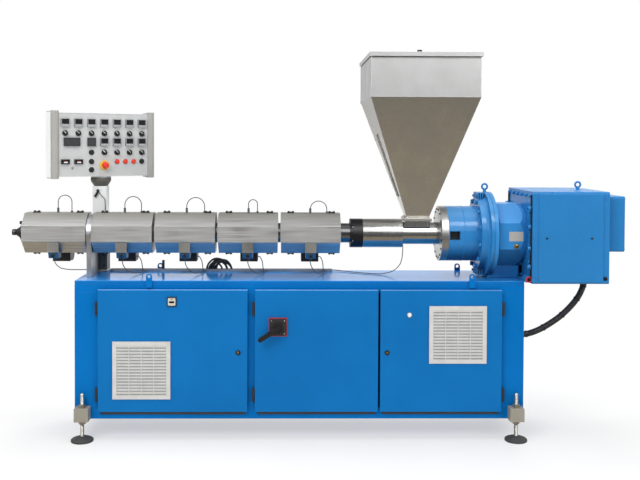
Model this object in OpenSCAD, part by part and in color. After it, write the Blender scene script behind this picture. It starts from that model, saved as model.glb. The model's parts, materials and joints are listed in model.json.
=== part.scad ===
// Single screw extruder on a cabinet bed, seen from the operator's side.
// X runs along the screw from the die to the motor, Y points away from the operator, Z is up.
// The origin is on the floor, under the middle of the machine.

/* [Screw line] */
// Height of the screw axis over the floor
axis_h = 1100; // [1080:1:1160]
// Length of the die adapter ahead of the first heater cover
adapter_l = 80; // [70:1:110]
// Outer diameter of the barrel
barrel_d = 110; // [100:1:120]
// Length of the first heater cover, at the die end
first_cover_l = 350; // [320:1:390]
// Length of each of the other heater covers
cover_l = 333; // [310:1:360]
// Gap between neighbouring heater covers
cover_gap = 14; // [10:1:20]
// Width of a heater cover across its flats
cover_w = 224; // [210:1:236]
// Thickness of the barrel support plate
support_t = 27; // [20:1:34]
// Length of bare barrel between the last cover and the collar
bare_l = 56; // [45:1:80]
// Length of the dark collar of the feed section
collar_l = 70; // [55:1:85]
// Length of the cooled feed bush
bush_l = 223; // [200:1:260]
// Diameter of the cooled feed bush
bush_d = 162; // [150:1:176]
// Length of the feed throat
throat_l = 204; // [190:1:230]
// Diameter of the feed throat
throat_d = 125; // [116:1:136]

/* [Drive] */
// Length of the bright barrel flange
flange_l = 39; // [30:1:50]
// Diameter of the barrel flange and of the lantern
flange_d = 308; // [290:1:330]
// Length of the lantern between barrel and gearbox
lantern_l = 215; // [190:1:240]
// Length of the bolted joint ring
joint_l = 40; // [30:1:54]
// Diameter of the bolted joint ring
joint_d = 470; // [440:1:475]
// Length of the gearbox
gear_l = 172; // [150:1:200]
// Width of the gearbox across its flats
gear_w = 345; // [320:1:370]
// Length of the motor housing
motor_l = 415; // [380:1:450]
// Width of the motor housing, front to back
motor_w = 520; // [480:1:540]
// Height of the motor housing
motor_h = 496; // [470:1:510]
// Length of the motor's end box
end_l = 105; // [80:1:130]

/* [Bed] */
// Front to back depth of the bed
bed_d = 410; // [390:1:440]
// Height of the bed's underside over the floor
bed_low_h = 110; // [100:1:125]
// Thickness of the bed's top plate
top_t = 20; // [12:1:26]
// Thickness of the bed's sheet walls
wall_t = 6; // [4:1:10]
// Front to back depth of the posts and rails of the front
post_d = 40; // [30:1:50]
// Width of the left door
door_left_w = 804; // [760:1:830]
// Width of the right door
door_right_w = 658; // [620:1:690]
// Thickness of a door
door_t = 20; // [16:1:22]
// Distance from the bed's left end to the left door
stile_left_w = 129; // [118:1:140]
// Distance from the right door to the bed's right end
stile_right_w = 126; // [112:1:130]
// Gap between the left and the middle door
mullion_w = 40; // [36:1:46]
// Side of a square vent
vent_w = 310; // [290:1:330]
// Diameter of a levelling foot's pad
pad_d = 120; // [100:1:130]

/* [Hopper] */
// Width of the hopper along the screw
hopper_w = 580; // [540:1:600]
// Depth of the hopper, front to back
hopper_d = 660; // [620:1:700]
// Height of the hopper's straight upper part
bin_h = 229; // [200:1:260]
// Height of the hopper's cone
cone_h = 663; // [620:1:700]
// Width of the cone's mouth
mouth_w = 116; // [106:1:122]
// Sheet thickness of the hopper
hopper_t = 4; // [3:0.5:6]

/* [Control panel] */
// Width of the panel
panel_w = 600; // [560:1:640]
// Height of the panel
panel_h = 374; // [350:1:400]
// Depth of the panel housing
panel_d = 120; // [100:1:130]
// Height of the panel's lower edge over the screw axis
panel_rise = 304; // [290:1:340]
// Side of the square column
column_w = 80; // [70:1:84]
// Turn of the panel towards the operator, seen from above
panel_turn = 30; // [20:1:40]

/* [Hidden] */

$fn = 64;
// Cuts run past the faces they cut by this much
over = 1;
// Gap that keeps a seated piece just clear of its seat
slip = 0.3;
// Running clearance of a hinge pin in its knuckle, on the radius
pin_slip = 0.05;

// Places along the screw
zone_count = 5;
// Gap between the barrel support and the covers beside it
support_gap = 2;
line_l = adapter_l + first_cover_l + 2 * support_gap + support_t + (zone_count - 1) * cover_l
    + (zone_count - 2) * cover_gap + bare_l + collar_l + bush_l + throat_l + flange_l + lantern_l
    + joint_l + gear_l + motor_l + end_l;
x_tip = -line_l / 2;
x_first = x_tip + adapter_l;
x_support = x_first + first_cover_l + support_gap;
x_second = x_support + support_t + support_gap;
x_collar = x_second + (zone_count - 1) * cover_l + (zone_count - 2) * cover_gap + bare_l;
x_bush = x_collar + collar_l;
x_throat = x_bush + bush_l;
x_flange = x_throat + throat_l;
x_lantern = x_flange + flange_l;
x_joint = x_lantern + lantern_l;
x_gear = x_joint + joint_l;
x_motor = x_gear + gear_l;
x_end = x_motor + motor_l;
function cover_x(i) = i == 0 ? x_first : x_second + (i - 1) * (cover_l + cover_gap);
function cover_len(i) = i == 0 ? first_cover_l : cover_l;

// Bed
bed_left_inset = 38;
bed_right_inset = 27;
x_bed = x_support - bed_left_inset;
x_bed_end = x_motor - bed_right_inset;
y_front = -bed_d / 2;
y_back = bed_d / 2;
// Doors stand this far off the front of the bed
door_gap = 8;
// Height of the front's top rail and of its sill under the doors
door_reveal_top = 46;
door_reveal_low = 44;
// The bed's top lies this far under the joint ring
joint_gap = 5;
bed_top_h = axis_h - joint_d / 2 - joint_gap;
z_door = bed_low_h + door_reveal_low;
door_h = bed_top_h - door_reveal_top - z_door;
meeting_gap = 11;
// Doors overlap their doorways by this much
overlap = 16;
x_door_left = x_bed + stile_left_w;
x_door_middle = x_door_left + door_left_w + mullion_w;
x_door_right = x_bed_end - stile_right_w - door_right_w;
door_middle_w = x_door_right - meeting_gap - x_door_middle;
y_door = y_front - door_gap - door_t;
// Height of the doorway's lower and upper edge
z_way = z_door + overlap;
z_way_top = z_door + door_h - overlap;
// Sheet of a door, and width of its folded rim
skin_t = 3;
rim_w = 15;

// Hinges
knuckle_d = 15;
knuckle_l = 37;
hinge_pin_d = 8;
pin_reach = 30;
tab_t = 8;
// Distance from a door's edge and from its back to the hinge axis
hinge_side = 8.5;
hinge_back = 12;
hinge_low_in = 92;
hinge_high_in = 103;
y_hinge = y_front - door_gap - hinge_back;
hinge_zs = [z_door + hinge_low_in, z_door + door_h - hinge_high_in];
x_hinge_left = x_door_left - hinge_side;
x_hinge_middle = x_door_middle - hinge_side;
x_hinge_right = x_door_right + door_right_w + hinge_side;

// Vents and fittings of the doors
vent_t = 9;
vent_rim_w = 22;
vent_back_t = 3;
vent_step = 2.5;
vent_slats = 16;
slat_share = 0.5;
vent_bars = 3;
vent_bar_w = 4;
vent_left_in = 81;
vent_low = 72;
vent_right_in = 85;
x_vent_right = x_door_right + door_right_w - vent_right_in - vent_w;
lock_d = 26;
lock_t = 7;
lock_left_in = 50;
lock_right_in = 37;
lock_rise = 322;
z_lock = z_door + lock_rise;
hour_meter_w = 51;
hour_meter_t = 8;
meter_in = 398;
meter_drop = 63;
z_hour_meter = z_door + door_h - meter_drop;
lamp_d = 28;
lamp_t = 14;
lamp_gap = 93;
lamp_drop = 134;
z_lamp = z_door + door_h - lamp_drop;
switch_w = 92;
switch_t = 14;
switch_r = 8;
switch_in = 124;
switch_drop = 198;
x_switch = x_door_middle + switch_in;
z_switch = z_door + door_h - switch_drop;
switch_bore_l = 10;
switch_pin_d = 16;
switch_hub_d = 50;
switch_hub_t = 44;
switch_turn = 33;
lever_l = 112;
lever_w = 24;
lever_t = 20;

// Crane eyes on the bed
lug_w = 32;
lug_t = 14;
lug_drop = 36;
lug_rise = 24;
lug_hole_d = 18;
lug_left_in = 402;
lug_right_in = 285;
lug_xs = [x_bed + lug_left_in, x_bed_end - lug_right_in];

// Feet
bracket_w = 76;
bracket_d = 66;
bracket_h = 72;
bracket_inset = 10;
spindle_d = 22;
spindle_rise = 76;
nut_d = 40;
nut_h = 18;
pad_h = 26;
pad_rim_h = 12;
pad_neck_d = 44;
foot_y = bed_d / 2 + bracket_d / 2;
foot_xs = [x_bed + bracket_inset + bracket_w / 2, x_bed_end - bracket_inset - bracket_w / 2];

// Barrel support, die adapter and heating zones
support_w = 176;
support_ring_d = 212;
nozzle_l = 22;
nozzle_d = 34;
clamp_l = 26;
clamp_d = 104;
adapter_d = 76;
outlet_l = 60;
outlet_d = 20;
// The seam of a cover lies this share of its width under the axis
seam_share = 0.19;
shell_step = 2.5;
box_w = 56;
box_front = 115;
box_chin = 100;
box_back = 46;
box_top_drop = 47;
box_knee_drop = 96;
box_low_drop = 134;
blower_w = 100;
blower_d = 70;
blower_front = 66;
blower_r = 36;
blower_top_drop = 84;
blower_low_drop = 172;

// Leads, as routes over the bed: places along X are counted from the middle of a zone
lead_d = 5;
lead_sides = 8;
lead_steps = 2;
tray_lead_rise = 6;
plug_d = 13;
plug_h = 26;
gland_h = 9;
lead_span_shares = [0.23, 0.28, 0.3, 0.15, 0.28];
lead_rise_shares = [0.43, 0.4, 0.38, 0.33, 0.3];
first_box_route = [
    [0, -72, 78], [30, -55, 45], [80, 10, 28], [140, 85, 18], [180, 103, 11], [225, 105, 7],
    [248, 107, 6], [266, 115, 6], [275, 135, 6]];
zone_box_route = [[0, -72, 76], [16, -58, 40], [44, -10, 14], [74, 60, 7], [92, 112, 6], [98, 135, 6]];
blower_route = [[60, 105, 92], [74, 108, 66], [79, 119, 26], [80, 135, 7]];
throat_route = [
    [0, 0, 125], [-12, 5, 65], [-49, 14, 25], [-94, 24, 9], [-134, 30, 4], [-204, 60, 4], [-284, 110, 4],
    [-345, 155, 5], [-374, 172, 6]];
// The lead to the feed throat leaves it this far from the throat's start
throat_lead_in = 7;
// Depth of a box lead's gland, and height of a blower lead's gland, from the axis
box_lead_front = 72;
blower_lead_back = 105;
blower_lead_drop = 148;
tray_w = 45;
tray_h = 11;
tray_t = 2;
tray_gap = 6;
tray_back = 10;
tray_past = 300;
y_tray = y_back - tray_back - tray_w;
x_tray_end = cover_x(zone_count - 1) + tray_past;

// Feed section
collar_slot_d = 22;
collar_slot_l = 16;
collar_slot_in = 2;
// Middle of the hopper, from the start of the feed throat
hopper_in = 82;
x_hopper = x_throat + hopper_in;
seat_l = 142;
seat_w = 130;
seat_h = 30;
seat_rise = 9.5;
seat_top = axis_h + throat_d / 2 + seat_rise;
feed_l = 96;
feed_w = 50;

// Drive
flare_share = 0.7;
bolt_ring_share = 0.6;
bolt_share = 0.36;
bolt_ring_l = 45;
bolt_ring_d = flange_d + (joint_d - flange_d) * bolt_ring_share;
bolt_circle_d = flange_d + (joint_d - flange_d) * bolt_share;
window_in = 4;
window_w = 56;
window_h = 48;
window_deep = 34;
bolt_count = 12;
bolt_head_d = 26;
bolt_head_t = 13;
gear_neck_l = 18;
gear_neck_step = 12;
gear_taper_l = 46;
gear_taper_share = 0.86;
gear_foot_w = 140;
foot_in = 14;
foot_lap = 24;
motor_r = 12;
motor_plate_t = 6;
motor_plate_in = 34;
end_h = 302;
end_w = 400;
end_rise = 70;
eye_r = 15;
eye_bar_d = 11;
eye_stem_h = 14;
eye_stem_d = 18;
motor_eye_in = 326;
eye_places = [
    [x_joint + joint_l / 4, 0, axis_h + joint_d / 2],
    [x_motor + motor_eye_in, 0, axis_h + motor_h / 2]];

// Conduit from the bed's right end to the underside of the motor
conduit_d = 35;
conduit_sides = 12;
conduit_gland_d = 54;
conduit_gland_l = 28;
z_conduit = 525;
conduit_end_in = 366;
x_conduit_end = x_motor + conduit_end_in;
conduit_route = [
    [1175, 0, 525], [1205, 0, 528], [1235, 0, 535], [1265, 0, 546], [1295, 0, 560], [1325, 0, 577],
    [1355, 0, 596], [1384, 0, 616], [1411, 0, 638], [1437, 0, 662], [1461, 0, 687], [1483, 0, 713],
    [1502, 0, 740], [1515, 0, 764], [1525, 0, 788], [1531, 0, 806], [1533, 0, 815]];

// Hopper and its lid
neck_plate_t = 16;
neck_plate_w = 154;
z_cone = seat_top + neck_plate_t;
z_bin = z_cone + cone_h;
z_rim = z_bin + bin_h;
lid_t = 3;
lid_rim_h = 22;
lid_side = 8;
lid_end = 16;
lid_back_free = 40;
lid_knob_d = 24;
lid_knob_h = 16;
lid_knob_in = 40;
lid_knob_side = 30;
lid_pin_d = 7;
lid_pin_l = 30;
lid_knuckle_d = 11;
lid_knuckle_l = 40;
lid_web_t = 6;
lid_hinge_drop = 14;
y_lid_hinge = hopper_d / 2 + lid_end / 2;
lid_hinge_in = 130;
lid_hinge_xs = [-lid_hinge_in, lid_hinge_in];
strip_t = 5;
strip_w = 34;
strip_low_share = 0.19;
strip_long_share = 0.51;

// Column and panel
column_inset = 66;
panel_z = axis_h + panel_rise;
x_column = x_bed + column_inset;
column_back = 5;
y_column = y_back - column_back - column_w / 2;
column_foot_w = column_w + 2 * column_back;
column_foot_t = 12;
coupling_h = 50;
coupling_d = 116;
coupling_low_d = 78;
coupling_rim_h = 20;
swivel_pin_d = 40;
swivel_pin_l = 44;
cap_w = 26;
cap_proud = 4;
cap_r = 9;
face_inset = 8;
// Pitch of the instruments along the face
grid_share = 1 / 8;
// Heights of the instrument rows over the panel's lower edge
row_shares = [0.832, 0.675, 0.543, 0.386, 0.245, 0.188, 0.12];
instrument_w = 48;
instrument_t = 9;
meter_w = 92;
small_meter_h = 27;
knob_d = 30;
knob_t = 18;
knob_turn = 45;
grip_share = 0.3;
button_d = 28;
button_t = 10;
cap_share = 0.75;
lamp_pitch_share = 0.667;
stop_collar_d = 54;
stop_collar_t = 12;
stop_head_d = 39;
stop_head_t = 20;
stop_gap = 8;
stop_travel = 4;
stop_stem_d = 20;

// The box round the machine runs from the lid's front edge to the panel's back corner: this centres it
panel_reach = y_column + (panel_w / 2 - cap_r) * sin(panel_turn)
    + (panel_d / 2 + cap_proud - cap_r) * cos(panel_turn) + cap_r;
y_shift = (hopper_d / 2 + lid_end - panel_reach) / 2;

// Plain shapes
module placed() {
    translate([0, y_shift, 0]) children();
}

module slab(lo, hi) {
    translate(lo) cube(hi - lo);
}

module along_x(x) {
    translate([x, 0, axis_h]) rotate([0, 90, 0]) children();
}

module rounded_rect(w, h, r) {
    square([w - 2 * r, h], center = true);
    square([w, h - 2 * r], center = true);
    for (x = [-1, 1], y = [-1, 1])
        translate([x * (w / 2 - r), y * (h / 2 - r)]) circle(r);
}

// A prism of eight sides along X, with flats at the top and the front
module octagon_bar(x, l, w) {
    along_x(x) rotate([0, 0, 22.5]) cylinder(h = l, d = w / cos(22.5), $fn = 8);
}

// A round tube swept along points, as one closed surface
function tangent(p, i) = let (a = p[max(i - 1, 0)], b = p[min(i + 1, len(p) - 1)]) (b - a) / norm(b - a);
function side_of(t) = let (s = cross(t, abs(t[1]) > 0.8 ? [1, 0, 0] : [0, 1, 0])) s / norm(s);
function ring(c, t, d, n) = let (u = side_of(t), v = cross(t, u))
    [for (k = [0:n - 1]) c + d / 2 * (cos(360 * k / n) * u + sin(360 * k / n) * v)];
function curve(p, i, t) = let (a = p[max(i - 1, 0)], b = p[i], c = p[i + 1], e = p[min(i + 2, len(p) - 1)])
    (2 * b + (c - a) * t + (2 * a - 5 * b + 4 * c - e) * t * t + (3 * b - a - 3 * c + e) * t * t * t) / 2;
function smooth(p, n) = concat(
    [for (i = [0:len(p) - 2], k = [0:n - 1]) curve(p, i, k / n)],
    [p[len(p) - 1]]);

module tube(p, d, n) {
    last = len(p) - 1;
    points = [for (i = [0:last]) each ring(p[i], tangent(p, i), d, n)];
    walls = [for (i = [0:last - 1], k = [0:n - 1])
        [i * n + k, (i + 1) * n + k, (i + 1) * n + (k + 1) % n, i * n + (k + 1) % n]];
    ends = [[for (k = [0:n - 1]) k], [for (k = [n - 1:-1:0]) last * n + k]];
    polyhedron(points, concat(walls, ends), convexity = 4);
}

// Bed
module bed_top() {
    color("royalblue") slab([x_bed, y_front, bed_top_h - top_t], [x_bed_end, y_back, bed_top_h]);
}

module bed_floor() {
    color("royalblue")
        slab([x_bed + wall_t, y_front + post_d, bed_low_h],
            [x_bed_end - wall_t, y_back - wall_t, bed_low_h + wall_t]);
}

module bed_back_wall() {
    color("royalblue")
        slab([x_bed + wall_t, y_back - wall_t, bed_low_h],
            [x_bed_end - wall_t, y_back, bed_top_h - top_t]);
}

module bed_end_walls() {
    color("royalblue")
        for (x = [x_bed, x_bed_end - wall_t])
            slab([x, y_front, bed_low_h], [x + wall_t, y_back, bed_top_h - top_t]);
}

module bed_front_rails() {
    x_in = x_bed + wall_t;
    x_out = x_bed_end - wall_t;
    color("royalblue") {
        slab([x_in, y_front, bed_low_h], [x_out, y_front + post_d, z_way]);
        slab([x_in, y_front, z_way_top], [x_out, y_front + post_d, bed_top_h - top_t]);
    }
}

module bed_front_posts() {
    spans = [
        [x_bed + wall_t, x_door_left + overlap],
        [x_door_left + door_left_w - overlap, x_door_middle + overlap],
        [x_door_right + door_right_w - overlap, x_bed_end - wall_t]];
    color("royalblue")
        for (s = spans)
            slab([s[0], y_front, z_way], [s[1], y_front + post_d, z_way_top]);
}

// Eye plates for the crane, on the front and on the back of the bed
module lug_plate() {
    rotate([90, 0, 0]) linear_extrude(lug_t) difference() {
        union() {
            translate([-lug_w / 2, -lug_drop]) square([lug_w, lug_drop + lug_rise]);
            translate([0, lug_rise]) circle(d = lug_w);
        }
        translate([0, lug_rise]) circle(d = lug_hole_d);
    }
}

module lifting_lugs() {
    color("royalblue")
        for (x = lug_xs, y = [y_front, y_back + lug_t])
            translate([x, y, bed_top_h]) lug_plate();
}

// Levelling feet
module at_feet() {
    for (x = foot_xs, side = [-1, 1])
        translate([x, side * foot_y, 0]) children();
}

module foot_brackets() {
    color("silver") at_feet() difference() {
        translate([-bracket_w / 2, -bracket_d / 2, bed_low_h]) cube([bracket_w, bracket_d, bracket_h]);
        translate([0, 0, bed_low_h - over]) cylinder(h = bracket_h + 2 * over, d = spindle_d + 2 * slip);
    }
}

module foot_spindles() {
    z_top = bed_low_h + bracket_h;
    color("lightgray") at_feet() {
        translate([0, 0, pad_h]) cylinder(h = z_top + spindle_rise - pad_h, d = spindle_d);
        translate([0, 0, z_top]) cylinder(h = nut_h, d = nut_d, $fn = 6);
    }
}

module foot_pads() {
    color("dimgray") at_feet() {
        cylinder(h = pad_rim_h, d = pad_d);
        translate([0, 0, pad_rim_h])
            cylinder(h = pad_h - pad_rim_h, d1 = pad_d - pad_rim_h, d2 = pad_neck_d);
    }
}

// Hinges: the lower half with its pin is on the bed, the upper half is on the door
module hinge_pins() {
    color("black")
        for (x = [x_hinge_left, x_hinge_middle, x_hinge_right], z = hinge_zs) {
            translate([x, y_hinge, z - knuckle_l]) cylinder(h = knuckle_l, d = knuckle_d);
            translate([x, y_hinge, z]) cylinder(h = pin_reach, d = hinge_pin_d);
            slab([x - tab_t / 2, y_hinge, z - knuckle_l], [x + tab_t / 2, y_front, z]);
        }
}

// side is 1 where the door lies to the right of the hinge and -1 where it lies to the left
module knuckles(x, side) {
    color("black")
        for (z = hinge_zs) translate([x, y_hinge, z + slip]) difference() {
            union() {
                cylinder(h = knuckle_l, d = knuckle_d);
                translate([side > 0 ? 0 : -hinge_side, -tab_t / 2, 0])
                    cube([hinge_side, tab_t, knuckle_l]);
            }
            translate([0, 0, -over]) cylinder(h = pin_reach + over, d = hinge_pin_d + 2 * pin_slip);
        }
}

module door_left_knuckles() {
    knuckles(x_hinge_left, 1);
}

module door_middle_knuckles() {
    knuckles(x_hinge_middle, 1);
}

module door_right_knuckles() {
    knuckles(x_hinge_right, -1);
}

// A door is a folded pan, open to the back
module door_pan(x, w) {
    color("dodgerblue") difference() {
        slab([x, y_door, z_door], [x + w, y_door + door_t, z_door + door_h]);
        slab([x + rim_w, y_door + skin_t, z_door + rim_w],
            [x + w - rim_w, y_door + door_t + over, z_door + door_h - rim_w]);
    }
}

module door_left() {
    door_pan(x_door_left, door_left_w);
}

module door_middle() {
    door_pan(x_door_middle, door_middle_w);
}

module door_right() {
    door_pan(x_door_right, door_right_w);
}

// A square vent: a bezel with louvres between upright bars, on a thin back
module vent(x, z) {
    field = vent_w - 2 * vent_rim_w;
    pitch = field / vent_slats;
    color("whitesmoke") translate([x, y_door - vent_t, z]) {
        difference() {
            cube([vent_w, vent_t, vent_w]);
            translate([vent_rim_w, -over, vent_rim_w]) cube([field, vent_t - vent_back_t + over, field]);
        }
        for (k = [0:vent_slats - 1])
            translate([vent_rim_w, vent_step, vent_rim_w + (k + slat_share) * pitch])
                cube([field, vent_t - vent_step, pitch * slat_share]);
        for (k = [1:vent_bars])
            translate([vent_rim_w + field * k / (vent_bars + 1) - vent_bar_w / 2, 0, vent_rim_w])
                cube([vent_bar_w, vent_t, field]);
    }
}

module door_left_vent() {
    vent(x_door_left + vent_left_in, z_door + vent_low);
}

module door_right_vent() {
    vent(x_vent_right, z_door + door_h - vent_right_in - vent_w);
}

// A round fitting on a door's face
module door_round(x, z, d, t) {
    translate([x, y_door, z]) rotate([90, 0, 0]) cylinder(h = t, d = d);
}

module door_left_fittings() {
    color("dimgray") {
        door_round(x_door_left + door_left_w - lock_left_in, z_lock, lock_d, lock_t);
        translate([x_door_left + meter_in, y_door, z_hour_meter]) rotate([90, 0, 0])
            linear_extrude(hour_meter_t) square(hour_meter_w, center = true);
    }
}

module door_right_fittings() {
    color("dimgray") {
        door_round(x_door_right + lock_right_in, z_lock, lock_d, lock_t);
        door_round(x_vent_right - lamp_gap - lamp_d / 2, z_lamp, lamp_d, lamp_t);
    }
}

// Main switch on the middle door
module switch_plate() {
    color("black") translate([x_switch, y_door, z_switch]) rotate([90, 0, 0]) difference() {
        linear_extrude(switch_t) rounded_rect(switch_w, switch_w, switch_r);
        translate([0, 0, switch_t - switch_bore_l])
            cylinder(h = switch_bore_l + over, d = switch_pin_d + 2 * pin_slip);
    }
}

module switch_handle() {
    color("black") translate([x_switch, y_door - switch_t - slip, z_switch]) rotate([90, 0, 0]) {
        translate([0, 0, -switch_bore_l + over]) cylinder(h = switch_bore_l, d = switch_pin_d);
        cylinder(h = switch_hub_t - lever_t / 2, d = switch_hub_d);
        translate([0, 0, switch_hub_t - lever_t]) rotate([0, 0, 180 + switch_turn])
            linear_extrude(lever_t) {
                translate([0, -lever_w / 2]) square([lever_l, lever_w]);
                for (x = [0, lever_l]) translate([x, 0]) circle(d = lever_w);
            }
    }
}

// Barrel and its heating zones
module barrel() {
    color("gray") along_x(x_first) cylinder(h = x_collar - x_first, d = barrel_d);
}

module barrel_support() {
    drop = axis_h - bed_top_h;
    color("silver") translate([x_support, 0, axis_h]) rotate([90, 0, 90])
        linear_extrude(support_t) difference() {
            union() {
                circle(d = support_ring_d);
                translate([-support_w / 2, -drop]) square([support_w, drop]);
            }
            circle(d = barrel_d + 2 * slip);
        }
}

// The adapter: a clamp flange, a cone and the outlet bore
module die_adapter() {
    color("dimgray") along_x(x_tip) difference() {
        union() {
            cylinder(h = nozzle_l, d = nozzle_d);
            translate([0, 0, nozzle_l])
                cylinder(h = adapter_l - nozzle_l - clamp_l, d1 = nozzle_d, d2 = adapter_d);
            translate([0, 0, adapter_l - clamp_l]) cylinder(h = clamp_l, d = clamp_d);
        }
        translate([0, 0, -over]) cylinder(h = outlet_l + over, d = outlet_d);
    }
}

// A cover is two bent shells: the upper one laps over the lower one near the front's lower fold
module heater_cover(i) {
    x = cover_x(i);
    l = cover_len(i);
    z_seam = axis_h - cover_w * seam_share;
    color("silver") difference() {
        union() {
            intersection() {
                octagon_bar(x, l, cover_w);
                slab([x, -cover_w, z_seam], [x + l, cover_w, axis_h + cover_w]);
            }
            octagon_bar(x + shell_step, l - 2 * shell_step, cover_w - 2 * shell_step);
        }
        along_x(x - over) cylinder(h = l + 2 * over, d = barrel_d + 2 * slip);
    }
}

module heater_covers() {
    for (i = [0:zone_count - 1]) heater_cover(i);
}

module at_zones() {
    for (i = [0:zone_count - 1])
        translate([cover_x(i) + cover_len(i) / 2, 0, axis_h]) children();
}

// The plain lower shell, which boxes and blowers are cut to fit
module cover_clearance() {
    translate([0, 0, -axis_h]) octagon_bar(-cover_l / 2, cover_l, cover_w - 2 * shell_step + 2 * slip);
}

module terminal_boxes() {
    color("silver") at_zones() difference() {
        rotate([90, 0, 90]) translate([0, 0, -box_w / 2]) linear_extrude(box_w)
            polygon([
                [-box_front, -box_top_drop], [-box_front, -box_knee_drop], [-box_chin, -box_low_drop],
                [-box_back, -box_low_drop], [-box_back, -box_top_drop]]);
        cover_clearance();
    }
}

module zone_blowers() {
    color("black") at_zones() difference() {
        union() {
            translate([-blower_w / 2, blower_front, -blower_low_drop])
                cube([blower_w, blower_d, blower_low_drop - blower_top_drop]);
            translate([-blower_w / 2, blower_front + blower_d, -blower_low_drop + blower_r])
                rotate([0, 90, 0]) cylinder(h = blower_w, r = blower_r);
        }
        cover_clearance();
    }
}

// A plug on each cover, with a lead that loops over to a gland
module thermocouple_leads() {
    color("dimgray")
        for (i = [0:zone_count - 1]) {
            r = cover_l * lead_span_shares[i] / 2;
            leg = cover_w * lead_rise_shares[i] - r;
            translate([cover_x(i) + cover_len(i) / 2, 0, axis_h + cover_w / 2]) {
                cylinder(h = plug_h, d = plug_d);
                translate([2 * r, 0, 0]) cylinder(h = gland_h, d = plug_d);
                for (x = [0, 2 * r]) translate([x, 0, 0]) cylinder(h = leg, d = lead_d);
                translate([r, 0, leg]) rotate([90, 0, 0]) rotate_extrude(angle = 180)
                    translate([r, 0]) circle(d = lead_d, $fn = 16);
            }
        }
}

// A lead from a gland along its route and into the front of the tray
module lead(gland, route) {
    last = route[len(route) - 1];
    points = concat([gland], route, [[last[0], y_tray - slip, last[2]]]);
    tube(smooth(points, lead_steps), lead_d, lead_sides);
}

// Leads from the terminal boxes, the blowers and the feed throat to the tray
module heater_leads() {
    rise = axis_h - bed_top_h;
    x_lead = x_throat + throat_lead_in;
    throat_points = concat(
        [[x_lead, 0, axis_h - throat_d / 2 - slip]],
        [for (p = throat_route) p + [x_lead, 0, bed_top_h]],
        [[x_tray_end + slip, y_tray + tray_w / 2, bed_top_h + tray_lead_rise]]);
    color("dimgray") {
        for (i = [0:zone_count - 1]) {
            middle = [cover_x(i) + cover_len(i) / 2, 0, bed_top_h];
            box_route = i == 0 ? first_box_route : zone_box_route;
            translate(middle) lead([0, -box_lead_front, rise - box_low_drop - slip], box_route);
            if (i > 0)
                translate(middle)
                    lead([blower_w / 2 + slip, blower_lead_back, rise - blower_lead_drop], blower_route);
        }
        tube(smooth(throat_points, lead_steps), lead_d, lead_sides);
    }
}

module cable_tray() {
    x_a = x_column + column_foot_w / 2 + tray_gap;
    color("gray") difference() {
        slab([x_a, y_tray, bed_top_h], [x_tray_end, y_tray + tray_w, bed_top_h + tray_h]);
        slab([x_a + tray_t, y_tray + tray_t, bed_top_h + tray_t],
            [x_tray_end - tray_t, y_tray + tray_w - tray_t, bed_top_h + tray_h + over]);
    }
}

// Feed section
module feed_collar() {
    color("black") along_x(x_collar) difference() {
        cylinder(h = collar_l, d = bush_d);
        for (a = [0:60:300]) rotate([0, 0, a]) translate([collar_slot_in + bush_d / 2, 0, -over])
            cylinder(h = collar_slot_l + over, d = collar_slot_d);
    }
}

module feed_housing() {
    color("silver") difference() {
        union() {
            along_x(x_bush) cylinder(h = bush_l, d = bush_d);
            along_x(x_throat) cylinder(h = throat_l, d = throat_d);
            slab([x_hopper - seat_l / 2, -seat_w / 2, seat_top - seat_h],
                [x_hopper + seat_l / 2, seat_w / 2, seat_top]);
        }
        slab([x_hopper - feed_l / 2, -feed_w / 2, axis_h],
            [x_hopper + feed_l / 2, feed_w / 2, seat_top + over]);
    }
}

module barrel_flange() {
    color("silver") along_x(x_flange) cylinder(h = flange_l, d = flange_d);
}

// The lantern steps up to its bolt ring, flares into its half of the joint, and has a window at the front
module lantern() {
    r = flange_d / 2;
    ring_r = bolt_ring_d / 2;
    flare = (joint_d - bolt_ring_d) / 2 * flare_share;
    outline = concat(
        [[0, 0], [r, 0], [r, lantern_l - bolt_ring_l], [ring_r, lantern_l - bolt_ring_l]],
        [for (a = [0:15:90]) [ring_r + flare * (1 - cos(a)), lantern_l - flare + flare * sin(a)]],
        [[joint_d / 2, lantern_l], [joint_d / 2, lantern_l + joint_l / 2], [0, lantern_l + joint_l / 2]]);
    color("steelblue") difference() {
        along_x(x_lantern) rotate_extrude() polygon(outline);
        slab([x_lantern + window_in, -r - over, axis_h - window_h / 2],
            [x_lantern + window_in + window_w, -r + window_deep, axis_h + window_h / 2]);
    }
}

// Hex heads round the lantern's bolt ring
module joint_bolts() {
    color("dimgray")
        for (k = [0:bolt_count - 1]) along_x(x_joint - bolt_ring_l - bolt_head_t)
            rotate([0, 0, 360 * (k + 0.5) / bolt_count]) translate([bolt_circle_d / 2, 0, 0])
                cylinder(h = bolt_head_t, d = bolt_head_d, $fn = 6);
}

// The gearbox casting: its half of the joint, a round neck and eight sides that a cone tapers at the end
module gearbox() {
    x_neck = x_joint + joint_l / 2;
    x_case = x_gear + gear_neck_l;
    case_l = x_motor - x_case;
    corner_d = gear_w / cos(22.5);
    end_d = corner_d * gear_taper_share;
    color("steelblue") {
        along_x(x_neck) cylinder(h = joint_l / 2, d = joint_d);
        along_x(x_gear) cylinder(h = gear_neck_l, d = gear_w - gear_neck_step);
        intersection() {
            octagon_bar(x_case, case_l, gear_w);
            along_x(x_case)
                cylinder(h = case_l, d1 = end_d + (corner_d - end_d) * case_l / gear_taper_l, d2 = end_d);
        }
    }
}

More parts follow.
